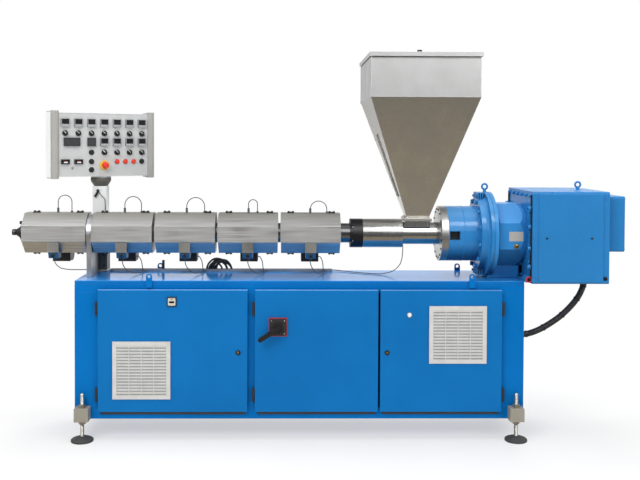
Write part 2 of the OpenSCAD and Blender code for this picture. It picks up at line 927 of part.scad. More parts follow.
module gearbox_foot() {
    color("steelblue") difference() {
        slab([x_joint + foot_in, -gear_foot_w / 2, bed_top_h],
            [x_bed_end, gear_foot_w / 2, axis_h - gear_w / 2 + foot_lap]);
        along_x(x_joint - over) cylinder(h = joint_l + 2 * over, d = joint_d + 2 * slip);
        along_x(x_joint - over) cylinder(h = joint_l + gear_neck_l + 2 * over, d = gear_w + 2 * slip);
        octagon_bar(x_gear, gear_l, gear_w + 2 * slip);
    }
}

module lifting_eyes() {
    color("steelblue")
        for (p = eye_places) translate(p) {
            cylinder(h = eye_stem_h, d = eye_stem_d);
            translate([0, 0, eye_stem_h + eye_r]) rotate([90, 0, 0]) rotate_extrude()
                translate([eye_r, 0]) circle(d = eye_bar_d, $fn = 24);
        }
}

module motor() {
    color("steelblue") {
        along_x(x_motor) linear_extrude(motor_l) rounded_rect(motor_h, motor_w, motor_r);
        for (y = [-motor_w / 2 - motor_plate_t, motor_w / 2])
            slab([x_motor + motor_plate_in, y, axis_h - motor_h / 2 + motor_r],
                [x_end - motor_plate_in, y + motor_plate_t, axis_h + motor_h / 2 - motor_r]);
    }
}

module motor_end_box() {
    color("steelblue") translate([0, 0, end_rise]) along_x(x_end) linear_extrude(end_l)
        rounded_rect(end_h, end_w, motor_r);
}

module conduit_glands() {
    color("black") {
        translate([x_bed_end, 0, z_conduit]) rotate([0, 90, 0])
            cylinder(h = conduit_gland_l, d = conduit_gland_d, $fn = 6);
        translate([x_conduit_end, 0, axis_h - motor_h / 2 - conduit_gland_l])
            cylinder(h = conduit_gland_l, d = conduit_gland_d, $fn = 6);
    }
}

module motor_conduit() {
    route = concat(
        [[x_bed_end + conduit_gland_l + slip, 0, z_conduit]],
        conduit_route,
        [[x_conduit_end, 0, axis_h - motor_h / 2 - conduit_gland_l - slip]]);
    color("black") tube(route, conduit_d, conduit_sides);
}

// Hopper: a square bin over a four sided cone, welded to a bolted base
module frustum(w0, d0, w1, d1, h) {
    corners = [[-1, -1], [1, -1], [1, 1], [-1, 1]];
    polyhedron(
        [for (c = [[w0, d0, 0], [w1, d1, h]], s = corners) [s[0] * c[0] / 2, s[1] * c[1] / 2, c[2]]],
        [[0, 1, 2, 3], [4, 7, 6, 5], [0, 4, 5, 1], [1, 5, 6, 2], [2, 6, 7, 3], [3, 7, 4, 0]]);
}

module hopper_bin() {
    color("silver") translate([x_hopper, 0, z_bin]) difference() {
        translate([-hopper_w / 2, -hopper_d / 2, 0]) cube([hopper_w, hopper_d, bin_h]);
        translate([-hopper_w / 2 + hopper_t, -hopper_d / 2 + hopper_t, -over])
            cube([hopper_w - 2 * hopper_t, hopper_d - 2 * hopper_t, bin_h + 2 * over]);
    }
}

module hopper_cone() {
    grow_w = (hopper_w - mouth_w) / cone_h * over;
    grow_d = (hopper_d - mouth_w) / cone_h * over;
    inner = mouth_w - 2 * hopper_t;
    color("silver") translate([x_hopper, 0, z_cone]) difference() {
        frustum(mouth_w, mouth_w, hopper_w, hopper_d, cone_h);
        translate([0, 0, -over]) frustum(inner - grow_w, inner - grow_d,
            hopper_w - 2 * hopper_t + grow_w, hopper_d - 2 * hopper_t + grow_d, cone_h + 2 * over);
    }
}

module hopper_flange() {
    color("silver") translate([x_hopper, 0, seat_top]) difference() {
        linear_extrude(neck_plate_t) square(neck_plate_w, center = true);
        translate([0, 0, -over]) linear_extrude(neck_plate_t + 2 * over) square(feed_l, center = true);
    }
}

// The lid lies on the rim, with a skirt round three sides and knuckles under its back edge
module hopper_lid() {
    w = hopper_w / 2 + lid_side;
    d = hopper_d / 2 + lid_end;
    z_top = lid_t + slip;
    color("lightgray") translate([x_hopper, 0, z_rim]) {
        difference() {
            slab([-w, -d, lid_t - lid_rim_h], [w, d, z_top]);
            slab([-w + lid_t, -d + lid_t, lid_t - lid_rim_h - over], [w - lid_t, d + over, slip]);
            slab([-w - over, d - lid_back_free, lid_t - lid_rim_h - over], [w + over, d + over, slip]);
        }
        translate([-lid_knob_side, -hopper_d / 2 + lid_knob_in, z_top])
            cylinder(h = lid_knob_h, d = lid_knob_d);
        for (x = lid_hinge_xs) translate([x + slip, y_lid_hinge, -lid_hinge_drop]) difference() {
            union() {
                rotate([0, 90, 0]) cylinder(h = lid_knuckle_l, d = lid_knuckle_d);
                translate([0, -lid_web_t / 2, 0]) cube([lid_knuckle_l, lid_web_t, lid_hinge_drop + slip]);
            }
            translate([-over, 0, 0]) rotate([0, 90, 0])
                cylinder(h = lid_pin_l + over, d = lid_pin_d + 2 * pin_slip);
        }
    }
}

module lid_hinges() {
    web_w = y_lid_hinge - hopper_d / 2;
    color("gray")
        for (x = lid_hinge_xs)
            translate([x_hopper + x, y_lid_hinge, z_rim - lid_hinge_drop]) rotate([0, 90, 0]) {
                translate([0, 0, -lid_knuckle_l]) cylinder(h = lid_knuckle_l, d = lid_knuckle_d);
                cylinder(h = lid_pin_l - over, d = lid_pin_d);
                translate([-lid_web_t / 2, -web_w, -lid_knuckle_l]) cube([lid_web_t, web_w, lid_knuckle_l]);
            }
}

// A strip of sight glass up the cone's left side
module sight_strip() {
    lean = atan((hopper_w - mouth_w) / 2 / cone_h);
    slope_l = cone_h / cos(lean);
    color("black") translate([x_hopper - mouth_w / 2, 0, z_cone]) rotate([0, -lean, 0])
        translate([-strip_t, -strip_w / 2, slope_l * strip_low_share])
            cube([strip_t, strip_w, slope_l * strip_long_share]);
}

// Control panel on its column
module panel_column() {
    z_coupling = panel_z - coupling_h;
    color("gainsboro") translate([x_column, y_column, bed_top_h]) {
        linear_extrude(z_coupling - bed_top_h) square(column_w, center = true);
        linear_extrude(column_foot_t) square(column_foot_w, center = true);
    }
}

module panel_coupling() {
    color("dimgray") translate([x_column, y_column, panel_z - coupling_h]) {
        cylinder(h = coupling_h - coupling_rim_h, d1 = coupling_low_d, d2 = coupling_d);
        translate([0, 0, coupling_h - coupling_rim_h]) cylinder(h = coupling_rim_h - slip, d = coupling_d);
        cylinder(h = coupling_h + swivel_pin_l - over, d = swivel_pin_d);
    }
}

module on_panel() {
    translate([x_column, y_column, panel_z]) rotate([0, 0, panel_turn]) children();
}

module panel_box() {
    half = panel_w / 2 - cap_w;
    color("gainsboro") on_panel() difference() {
        union() {
            slab([-half, -panel_d / 2, face_inset], [half, panel_d / 2, panel_h - face_inset]);
            cylinder(h = face_inset, d = coupling_d);
        }
        translate([0, 0, -over]) cylinder(h = swivel_pin_l + over, d = swivel_pin_d + 2 * pin_slip);
    }
}

module panel_caps() {
    color("darkgray") on_panel()
        for (x = [-panel_w / 2 + cap_w / 2, panel_w / 2 - cap_w / 2])
            translate([x, 0, 0])
                linear_extrude(panel_h) rounded_rect(cap_w, panel_d + 2 * cap_proud, cap_r);
}

// A place on the panel's face: column 4 is the middle, and row 0 is the top row
module on_face(column, row) {
    on_panel() translate([(column - 4) * panel_w * grid_share, -panel_d / 2, panel_h * row_shares[row]])
        rotate([90, 0, 0]) children();
}

module panel_instruments() {
    color("black") {
        for (c = [1:7]) on_face(c, 0) linear_extrude(instrument_t) square(instrument_w, center = true);
        for (c = [3:7]) on_face(c, 2) linear_extrude(instrument_t) square(instrument_w, center = true);
        on_face(1.5, 2) linear_extrude(instrument_t) square([meter_w, instrument_w], center = true);
        for (c = [1, 2]) on_face(c, 4)
            linear_extrude(instrument_t) square([instrument_w, small_meter_h], center = true);
    }
}

// A selector knob with a grip bar across it
module selector_knob() {
    cylinder(h = knob_t / 2, d = knob_d);
    rotate([0, 0, knob_turn]) linear_extrude(knob_t) square([knob_d * grip_share, knob_d], center = true);
}

module push_button() {
    cylinder(h = button_t / 2, d = button_d);
    translate([0, 0, button_t / 2]) cylinder(h = button_t / 2, d = button_d * cap_share);
}

module panel_controls() {
    color("black") {
        for (c = [1:7]) on_face(c, 1) selector_knob();
        for (c = [4:7]) on_face(c, 3) selector_knob();
        for (row = [3, 4, 6]) on_face(3, row) push_button();
        on_face(7, 4) push_button();
    }
}

module panel_lamps() {
    color("red")
        for (k = [0:2]) on_face(5 + k * lamp_pitch_share, 4) push_button();
}

module stop_collar() {
    color("gold") on_face(4, 5) difference() {
        cylinder(h = stop_collar_t, d = stop_collar_d);
        translate([0, 0, over]) cylinder(h = stop_collar_t, d = stop_stem_d + 2 * pin_slip);
    }
}

module stop_button() {
    color("red") on_face(4, 5) {
        translate([0, 0, over + stop_travel]) cylinder(h = stop_collar_t + stop_gap, d = stop_stem_d);
        translate([0, 0, stop_collar_t + stop_gap]) cylinder(h = stop_head_t / 2, d = stop_head_d);
        translate([0, 0, stop_collar_t + stop_gap + stop_head_t / 2])
            cylinder(h = stop_head_t / 2, d1 = stop_head_d, d2 = stop_head_d * cap_share);
    }
}

placed() bed_top();
placed() bed_floor();
placed() bed_back_wall();
placed() bed_end_walls();
placed() bed_front_rails();
placed() bed_front_posts();
placed() lifting_lugs();
placed() foot_brackets();
placed() foot_spindles();
placed() foot_pads();
placed() hinge_pins();
placed() door_left();
placed() door_left_knuckles();
placed() door_left_vent();
placed() door_left_fittings();
placed() door_middle();
placed() door_middle_knuckles();
placed() switch_plate();
placed() switch_handle();
placed() door_right();
placed() door_right_knuckles();
placed() door_right_vent();
placed() door_right_fittings();
placed() barrel();
placed() barrel_support();
placed() die_adapter();
placed() heater_covers();
placed() terminal_boxes();
placed() zone_blowers();
placed() thermocouple_leads();
placed() heater_leads();
placed() cable_tray();
placed() feed_collar();
placed() feed_housing();
placed() barrel_flange();
placed() lantern();
placed() joint_bolts();
placed() gearbox();
placed() gearbox_foot();
placed() lifting_eyes();
placed() motor();
placed() motor_end_box();
placed() conduit_glands();
placed() motor_conduit();
placed() hopper_bin();
placed() hopper_cone();
placed() hopper_flange();
placed() hopper_lid();
placed() lid_hinges();
placed() sight_strip();
placed() panel_column();
placed() panel_coupling();
placed() panel_box();
placed() panel_caps();
placed() panel_instruments();
placed() panel_controls();
placed() panel_lamps();
placed() stop_collar();
placed() stop_button();
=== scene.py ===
"""Looks of the single screw extruder, in metres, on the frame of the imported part.

X runs from the die to the motor, Y away from the operator and Z up.
"""
import json
import math

import bmesh
import bpy
from mathutils import Matrix, Vector


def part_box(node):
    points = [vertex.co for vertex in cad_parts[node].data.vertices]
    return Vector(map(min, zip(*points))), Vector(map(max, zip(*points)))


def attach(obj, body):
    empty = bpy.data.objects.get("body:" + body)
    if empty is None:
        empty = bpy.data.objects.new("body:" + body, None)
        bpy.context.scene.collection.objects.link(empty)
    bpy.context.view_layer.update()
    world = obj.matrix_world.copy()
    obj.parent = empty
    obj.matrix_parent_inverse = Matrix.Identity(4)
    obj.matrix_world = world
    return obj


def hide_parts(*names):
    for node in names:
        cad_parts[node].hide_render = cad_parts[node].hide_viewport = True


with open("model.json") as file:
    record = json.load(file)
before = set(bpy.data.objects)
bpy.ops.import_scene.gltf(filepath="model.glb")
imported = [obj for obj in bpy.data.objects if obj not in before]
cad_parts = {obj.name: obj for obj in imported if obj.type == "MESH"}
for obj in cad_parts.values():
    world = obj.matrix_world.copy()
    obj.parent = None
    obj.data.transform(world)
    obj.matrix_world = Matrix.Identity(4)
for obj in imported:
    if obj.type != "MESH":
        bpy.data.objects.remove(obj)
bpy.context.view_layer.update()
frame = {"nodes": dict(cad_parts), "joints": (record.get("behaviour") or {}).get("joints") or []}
NODES = frame["nodes"]
IDENTITY = Matrix.Identity(4)
FRONT, BACK = Vector((0, -1, 0)), Vector((0, 1, 0))
LEFT, RIGHT = Vector((-1, 0, 0)), Vector((1, 0, 0))
UP, DOWN = Vector((0, 0, 1)), Vector((0, 0, -1))

# Screw axis, taken from the barrel
BARREL_LOW, BARREL_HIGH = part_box("barrel")
AXIS_Y = (BARREL_LOW.y + BARREL_HIGH.y) / 2
AXIS_Z = (BARREL_LOW.z + BARREL_HIGH.z) / 2

# The photograph's view: focal length and the point that the lens faces are in its pixels
IMAGE_W, IMAGE_H = 640, 480
FOCAL_PX = 874
FACED_PX = (299, 165.8)
CAMERA_AT = (-0.154, -4.922, 1.588)
YAW_DEG = -0.83
PITCH_DEG = 1.29
ROLL_DEG = 0.215
SENSOR = 36


def make_camera():
    """A slightly turned camera whose shift puts the faced point where the photograph has it."""
    data = bpy.data.cameras.new("camera")
    data.sensor_width = SENSOR
    data.lens = FOCAL_PX / IMAGE_W * SENSOR
    data.shift_x = (IMAGE_W / 2 - FACED_PX[0]) / IMAGE_W
    data.shift_y = (FACED_PX[1] - IMAGE_H / 2) / IMAGE_W
    camera = bpy.data.objects.new("camera", data)
    camera.matrix_world = (Matrix.Translation(CAMERA_AT)
                           @ Matrix.Rotation(math.radians(YAW_DEG), 4, "Z")
                           @ Matrix.Rotation(math.radians(90 - PITCH_DEG), 4, "X")
                           @ Matrix.Rotation(math.radians(ROLL_DEG), 4, "Z"))
    bpy.context.scene.collection.objects.link(camera)
    bpy.context.scene.camera = camera


# Materials


def connect(tree, value, socket):
    """Links a socket to an input, or sets a constant on it."""
    if isinstance(value, bpy.types.NodeSocket):
        tree.links.new(value, socket)
    else:
        socket.default_value = value


def add_node(tree, kind, inputs=(), **settings):
    made = tree.nodes.new(kind)
    for key, value in settings.items():
        setattr(made, key, value)
    for key, value in dict(inputs).items():
        connect(tree, value, made.inputs[key])
    return made


def add_math(tree, operation, first, second):
    return add_node(tree, "ShaderNodeMath", {0: first, 1: second}, operation=operation).outputs["Value"]


class Shader:
    """A Principled material whose colour, roughness and bump come from noise in the part's own space."""

    FOLD_START, FOLD_END = 0.75, 0.99

    def __init__(self, name, **constants):
        self.material = bpy.data.materials.new(name)
        self.material.use_nodes = True
        self.tree = self.material.node_tree
        self.surface = self.tree.nodes["Principled BSDF"]
        for key, value in constants.items():
            self.surface.inputs[key.replace("_", " ")].default_value = value
        self.place = self.node("ShaderNodeTexCoord").outputs["Object"]

    def node(self, kind, inputs=(), **settings):
        return add_node(self.tree, kind, inputs, **settings)

    def math(self, operation, first, second=0.0):
        return add_math(self.tree, operation, first, second)

    def noise(self, size, detail, stretch=(1, 1, 1)):
        """Noise with features of about this size in metres, longer along the axes with a larger stretch."""
        scale = [1 / (size * s) for s in stretch]
        mapping = self.node("ShaderNodeMapping", {"Vector": self.place, "Scale": scale})
        made = self.node("ShaderNodeTexNoise",
                         {"Vector": mapping.outputs["Vector"], "Scale": 1.0, "Detail": detail})
        return made.outputs["Fac"]

    def spread(self, value, low, high, start=0.3, end=0.7):
        made = self.node("ShaderNodeMapRange", {"Value": value, "From Min": start, "From Max": end,
                                                "To Min": low, "To Max": high})
        return made.outputs["Result"]

    def blend(self, factor, first, second):
        made = self.node("ShaderNodeMix", {"Factor": factor}, data_type="RGBA")
        for key, value in (("A", first), ("B", second)):
            socket = next(s for s in made.inputs if s.name == key and s.type == "RGBA")
            connect(self.tree, (*value, 1.0) if isinstance(value, tuple) else value, socket)
        return next(s for s in made.outputs if s.type == "RGBA")

    def normal(self):
        return self.node("ShaderNodeNewGeometry").outputs["Normal"]

    def edges(self, radius, gain):
        """About the gain along the outer edges and folds of the surface, and 0 on its flats."""
        rounded = self.node("ShaderNodeBevel", {"Radius": radius}, samples=4).outputs["Normal"]
        dot = self.node("ShaderNodeVectorMath", {0: rounded, 1: self.normal()}, operation="DOT_PRODUCT")
        return self.spread(dot.outputs["Value"], gain, 0.0, self.FOLD_START, self.FOLD_END)

    def rise(self, vector, start, end, level=1.0):
        """Rises from 0 to the level as the upward share of a vector goes from start to end."""
        split = self.node("ShaderNodeSeparateXYZ", {"Vector": vector})
        return self.spread(split.outputs["Z"], 0.0, level, start, end)

    def finish(self, colour, rough, *bumps):
        """Links the colour, the roughness and bumps of (height, strength, depth), the deepest first."""
        connect(self.tree, colour, self.surface.inputs["Base Color"])
        connect(self.tree, rough, self.surface.inputs["Roughness"])
        above = {}
        for height, strength, depth in bumps:
            inputs = {"Height": height, "Strength": strength, "Distance": depth, **above}
            above = {"Normal": self.node("ShaderNodeBump", inputs).outputs["Normal"]}
        if above:
            connect(self.tree, above["Normal"], self.surface.inputs["Normal"])
        return self.material

    def light(self, colour, strength):
        return self.node("ShaderNodeEmission", {"Color": colour, "Strength": strength}).outputs["Emission"]

    def show(self, surface):
        connect(self.tree, surface, self.tree.nodes["Material Output"].inputs["Surface"])
        return self.material


def shade(colour, gain, lift=0.0):
    return tuple(min(1.0, c * gain + lift) for c in colour)


# Sizes of the marks in the finishes, in metres, and how deep their bumps are
PAINT_CLOUD, PAINT_DUST, PAINT_GLOSS = 0.45, 0.05, 0.03
PEEL_WIDE, PEEL_FINE = 0.03, 0.0016
STEEL_STAIN, PLASTIC_CLOUD, PLASTIC_GLOSS, LENS_MARK = 0.16, 0.05, 0.012, 0.008
FINE_BUMP, STEEL_BUMP = 0.0003, 0.0006
PAINT_EDGE, PLASTIC_EDGE = 0.004, 0.0012
DUST, DUST_LEVEL = (0.62, 0.62, 0.6), 0.05


def paint(name, colour, rough=0.34, coat=0.05, peel=0.06, spec=0.2, shade_below=0.0, rim=None):
    """Sprayed paint: faint clouds, orange peel, thin lighter edges that are partly wear and partly a painted
    highlight, dust on top, painted shade on the faces that look down and a painted highlight on those that
    look up.
    """
    made = Shader(name, Coat_Weight=coat, Coat_Roughness=0.12, Specular_IOR_Level=spec)
    clouds = made.spread(made.noise(PAINT_CLOUD, detail=4), 0.0, 1.0)
    base = made.blend(clouds, shade(colour, 0.92), shade(colour, 1.07))
    # Lighter edges and folds: partly wear, partly a painted highlight.
    base = made.blend(made.edges(PAINT_EDGE, gain=0.45), base, shade(colour, 1.25, lift=0.05))
    specks = made.spread(made.noise(PAINT_DUST, detail=5), 0.0, DUST_LEVEL)
    dust = made.math("MULTIPLY", made.rise(made.normal(), 0.6, 0.95), specks)
    base = made.blend(dust, base, DUST)
    # Painted shade: faces that look down are darkened towards a near-black copy of the colour.
    if shade_below:
        base = made.blend(made.rise(made.normal(), -0.3, -0.8, shade_below), base, shade(colour, 0.2, lift=0.008))
    # Painted highlight: faces that look up are lightened towards the rim colour.
    if rim:
        base = made.blend(made.rise(made.normal(), 0.3, 0.7, 0.9), base, rim)
    gloss = made.spread(made.noise(PAINT_GLOSS, detail=4), rough - 0.05, rough + 0.07)
    return made.finish(base, gloss, (made.noise(PEEL_WIDE, detail=1), peel, FINE_BUMP),
                       (made.noise(PEEL_FINE, detail=2), peel, FINE_BUMP))


def steel(name, colour, rough=0.3, grain=(30, 1, 1), depth=0.05, blotch=0.08, fold=0.003, brush=1.0,
          stain=0.35, line=0.0022, top_shade=None):
    """Brushed or turned steel: the grain is long along the axes with a large stretch.

    A top shade of (start height, end height, colour) darkens the steel upwards: painted shade.
    """
    made = Shader(name, Metallic=1.0)
    lines = made.noise(line, detail=3, stretch=grain)
    stains = made.noise(STEEL_STAIN, detail=4)
    dark, light = shade(colour, 1 - 0.12 * brush), shade(colour, 1 + 0.08 * brush)
    base = made.blend(made.spread(lines, 0.0, 1.0), dark, light)
    base = made.blend(made.spread(stains, 0.0, stain), base, shade(colour, 0.8))
    # Painted shade: darker towards the top between the two heights.
    if top_shade:
        base = made.blend(made.rise(made.place, top_shade[0], top_shade[1]), base, top_shade[2])
    # Painted highlight: edges and folds are lighter, partly also wear.
    base = made.blend(made.edges(fold, gain=0.5), base, shade(colour, 1.25, lift=0.05))
    gloss = made.math("ADD", made.spread(lines, rough - 0.06, rough + 0.06),
                      made.spread(stains, -blotch / 2, blotch))
    return made.finish(base, gloss, (lines, depth, STEEL_BUMP))


def plastic(name, colour, rough=0.45, grain=0.0012, depth=0.08, spec=0.5):
    """Moulded plastic or rubber with a fine texture and lighter edges, partly wear and partly a painted
    highlight.
    """
    made = Shader(name, Specular_IOR_Level=spec)
    clouds = made.spread(made.noise(PLASTIC_CLOUD, detail=3), 0.0, 1.0)
    base = made.blend(clouds, shade(colour, 0.94), shade(colour, 1.05))
    # Lighter edges: partly wear, partly a painted highlight.
    base = made.blend(made.edges(PLASTIC_EDGE, gain=0.5), base, shade(colour, 1.4, lift=0.02))
    gloss = made.spread(made.noise(PLASTIC_GLOSS, detail=3), rough - 0.06, rough + 0.08)
    return made.finish(base, gloss, (made.noise(grain, detail=2), depth, FINE_BUMP))


def lens(name, colour, rough=0.12):
    """A glossy lamp cap or display window, with fingerprints in its gloss."""
    made = Shader(name, Coat_Weight=0.25, Coat_Roughness=0.08)
    marks = made.noise(LENS_MARK, detail=4)
    base = made.blend(made.spread(marks, 0.0, 1.0), shade(colour, 0.85), shade(colour, 1.1))
    return made.finish(base, made.spread(marks, rough - 0.04, rough + 0.14))


BED_BLUE, DRIVE_BLUE = (0.002, 0.15, 0.46), (0.02, 0.19, 0.47)
# Painted shade: the covers darken towards their tops between these heights
COVER_TOP_SHADE = (AXIS_Z + 0.05, AXIS_Z + 0.118, (0.38, 0.37, 0.335))
BED = paint("bed_paint", BED_BLUE, rough=0.16, coat=0.0, peel=0.015, spec=0.05)
# A rim colour is a painted highlight on faces that look up; darkening the faces that look down is painted
# shade.
BED_TOP = paint("bed_top_paint", BED_BLUE, rough=0.12, coat=0.0, peel=0.012, spec=0.26,
                rim=(0.03, 0.25, 0.66))
DOOR = paint("door_paint", (0.005, 0.15, 0.425), rough=0.4, coat=0.0, spec=0.05, rim=(0.17, 0.36, 0.7))
DRIVE = paint("drive_paint", DRIVE_BLUE, rough=0.3, coat=0.03, spec=0.15, shade_below=0.55)
LANTERN = paint("lantern_paint", DRIVE_BLUE, rough=0.3, coat=0.35, spec=0.15, shade_below=0.85,
                rim=(0.08, 0.31, 0.66))
GEAR = paint("gear_paint", (0.03, 0.23, 0.55), rough=0.3, coat=0.03, peel=0.08, spec=0.15, shade_below=0.75,
             rim=(0.07, 0.29, 0.64))
COVER = steel("cover_steel", (0.68, 0.68, 0.675), rough=0.43, grain=(50, 1, 1), fold=0.006, brush=1.7,
              line=0.006, top_shade=COVER_TOP_SHADE)
BOX_PAINT = paint("box_paint", (0.012, 0.085, 0.2), rough=0.35)
SLEEVE = steel("sleeve_steel", (0.13, 0.13, 0.128), rough=0.45, grain=(1, 1, 20), depth=0.1)
BIN = steel("bin_steel", (0.59, 0.59, 0.59), rough=0.43, grain=(1, 1, 30), depth=0.03, brush=0.5, stain=0.8)
CONE = steel("cone_steel", (0.62, 0.605, 0.57), rough=0.36, grain=(1, 1, 30), depth=0.03, stain=0.9,
             line=0.005)
TURNED = steel("turned_steel", (0.5, 0.5, 0.49), rough=0.16, grain=(1, 25, 25), depth=0.04)
BARREL = steel("barrel_steel", (0.24, 0.24, 0.25), rough=0.2, grain=(1, 25, 25), depth=0.04)
RING = steel("ring_steel", (0.52, 0.52, 0.51), rough=0.34, grain=(1, 25, 25), depth=0.04)
ZINC = steel("zinc", (0.47, 0.46, 0.43), rough=0.32, grain=(1, 1, 4))
IRON = steel("black_iron", (0.05, 0.05, 0.052), rough=0.42, grain=(2, 2, 2), depth=0.15)
SUPPORT = steel("support_steel", (0.62, 0.63, 0.64), rough=0.35, grain=(1, 1, 20))
BRASS = steel("brass", (0.62, 0.43, 0.16), rough=0.25, grain=(1, 4, 4))
BLACK = plastic("black_plastic", (0.022, 0.022, 0.024), rough=0.42)
KNOB = plastic("knob_black", (0.012, 0.012, 0.013), rough=0.3, depth=0.04)
CABLE = plastic("cable_black", (0.02, 0.02, 0.022), rough=0.5, grain=0.002)
LEAD = plastic("lead_grey", (0.07, 0.08, 0.09))
RUBBER = plastic("pad_rubber", (0.045, 0.045, 0.047), rough=0.7, grain=0.0025, depth=0.2)
VENT = plastic("vent_cream", (0.58, 0.57, 0.545), rough=0.5)
# Dark mat behind the vent slats: painted shade for the gaps between them.
VENT_GAP_SHADE = plastic("vent_gap_shade", (0.34, 0.35, 0.35), rough=0.9, grain=0.004, depth=0.6, spec=0.2)
FACE = paint("panel_paint", (0.52, 0.53, 0.53), rough=0.45, peel=0.05)
CAP = paint("cap_paint", (0.36, 0.355, 0.33), rough=0.42, peel=0.03)
SIDE = paint("side_paint", (0.93, 0.94, 0.95), rough=0.45, peel=0.03)
COLUMN = paint("column_paint", (0.76, 0.77, 0.77), rough=0.42, coat=0.08)
COUPLING = paint("coupling_grey", (0.115, 0.108, 0.098), rough=0.45)
BRACKET = paint("bracket_paint", (0.3, 0.28, 0.225), rough=0.4, coat=0.1)
TRAY = paint("tray_grey", (0.36, 0.37, 0.39), rough=0.45)
PLATE = steel("box_plate", (0.66, 0.65, 0.61), grain=(1, 10, 1))
NAME_PLATE = paint("name_plate", (0.4, 0.385, 0.355), rough=0.4)
KEYS = plastic("key_grey", (0.31, 0.32, 0.33), rough=0.5)
KEY_CAP = plastic("key_cap", (0.4, 0.41, 0.42), rough=0.5)
POINTER = plastic("pointer_white", (0.75, 0.75, 0.73), rough=0.5)
DIAL = plastic("dial_beige", (0.6, 0.56, 0.47))
DISPLAY = lens("display_dark", (0.006, 0.006, 0.008))
METER = lens("meter_grey", (0.028, 0.03, 0.033), rough=0.3)
LED = lens("led_red", (0.12, 0.014, 0.012))
LAMP = lens("lamp_red", (0.72, 0.03, 0.012), rough=0.22)
WHITE_LAMP = lens("lamp_white", (0.8, 0.8, 0.77), rough=0.2)
STOP = lens("stop_red", (0.68, 0.035, 0.015), rough=0.28)
YELLOW = plastic("collar_yellow", (0.78, 0.5, 0.015), rough=0.4)
RED = plastic("ring_red", (0.5, 0.012, 0.02), rough=0.4)
GLASS = lens("sight_glass", (0.02, 0.022, 0.025), rough=0.1)


# Shapes


def circle(count, offset=0.0):
    """Cosine and sine of evenly spaced angles, begun at a share of the first step."""
    angles = [math.tau * (k + offset) / count for k in range(count)]
    return [(math.cos(a), math.sin(a)) for a in angles]


def evenly(low, high, count):
    """Evenly spaced values from low to high, with both of them."""
    return [low + (high - low) * k / (count - 1) for k in range(count)]


def corners(low, high, inset, other_inset=None):
    """The four corners of a rectangle, moved inwards along its two axes."""
    other = inset if other_inset is None else other_inset
    return [(a, b) for a in (low[0] + inset, high[0] - inset) for b in (low[1] + other, high[1] - other)]


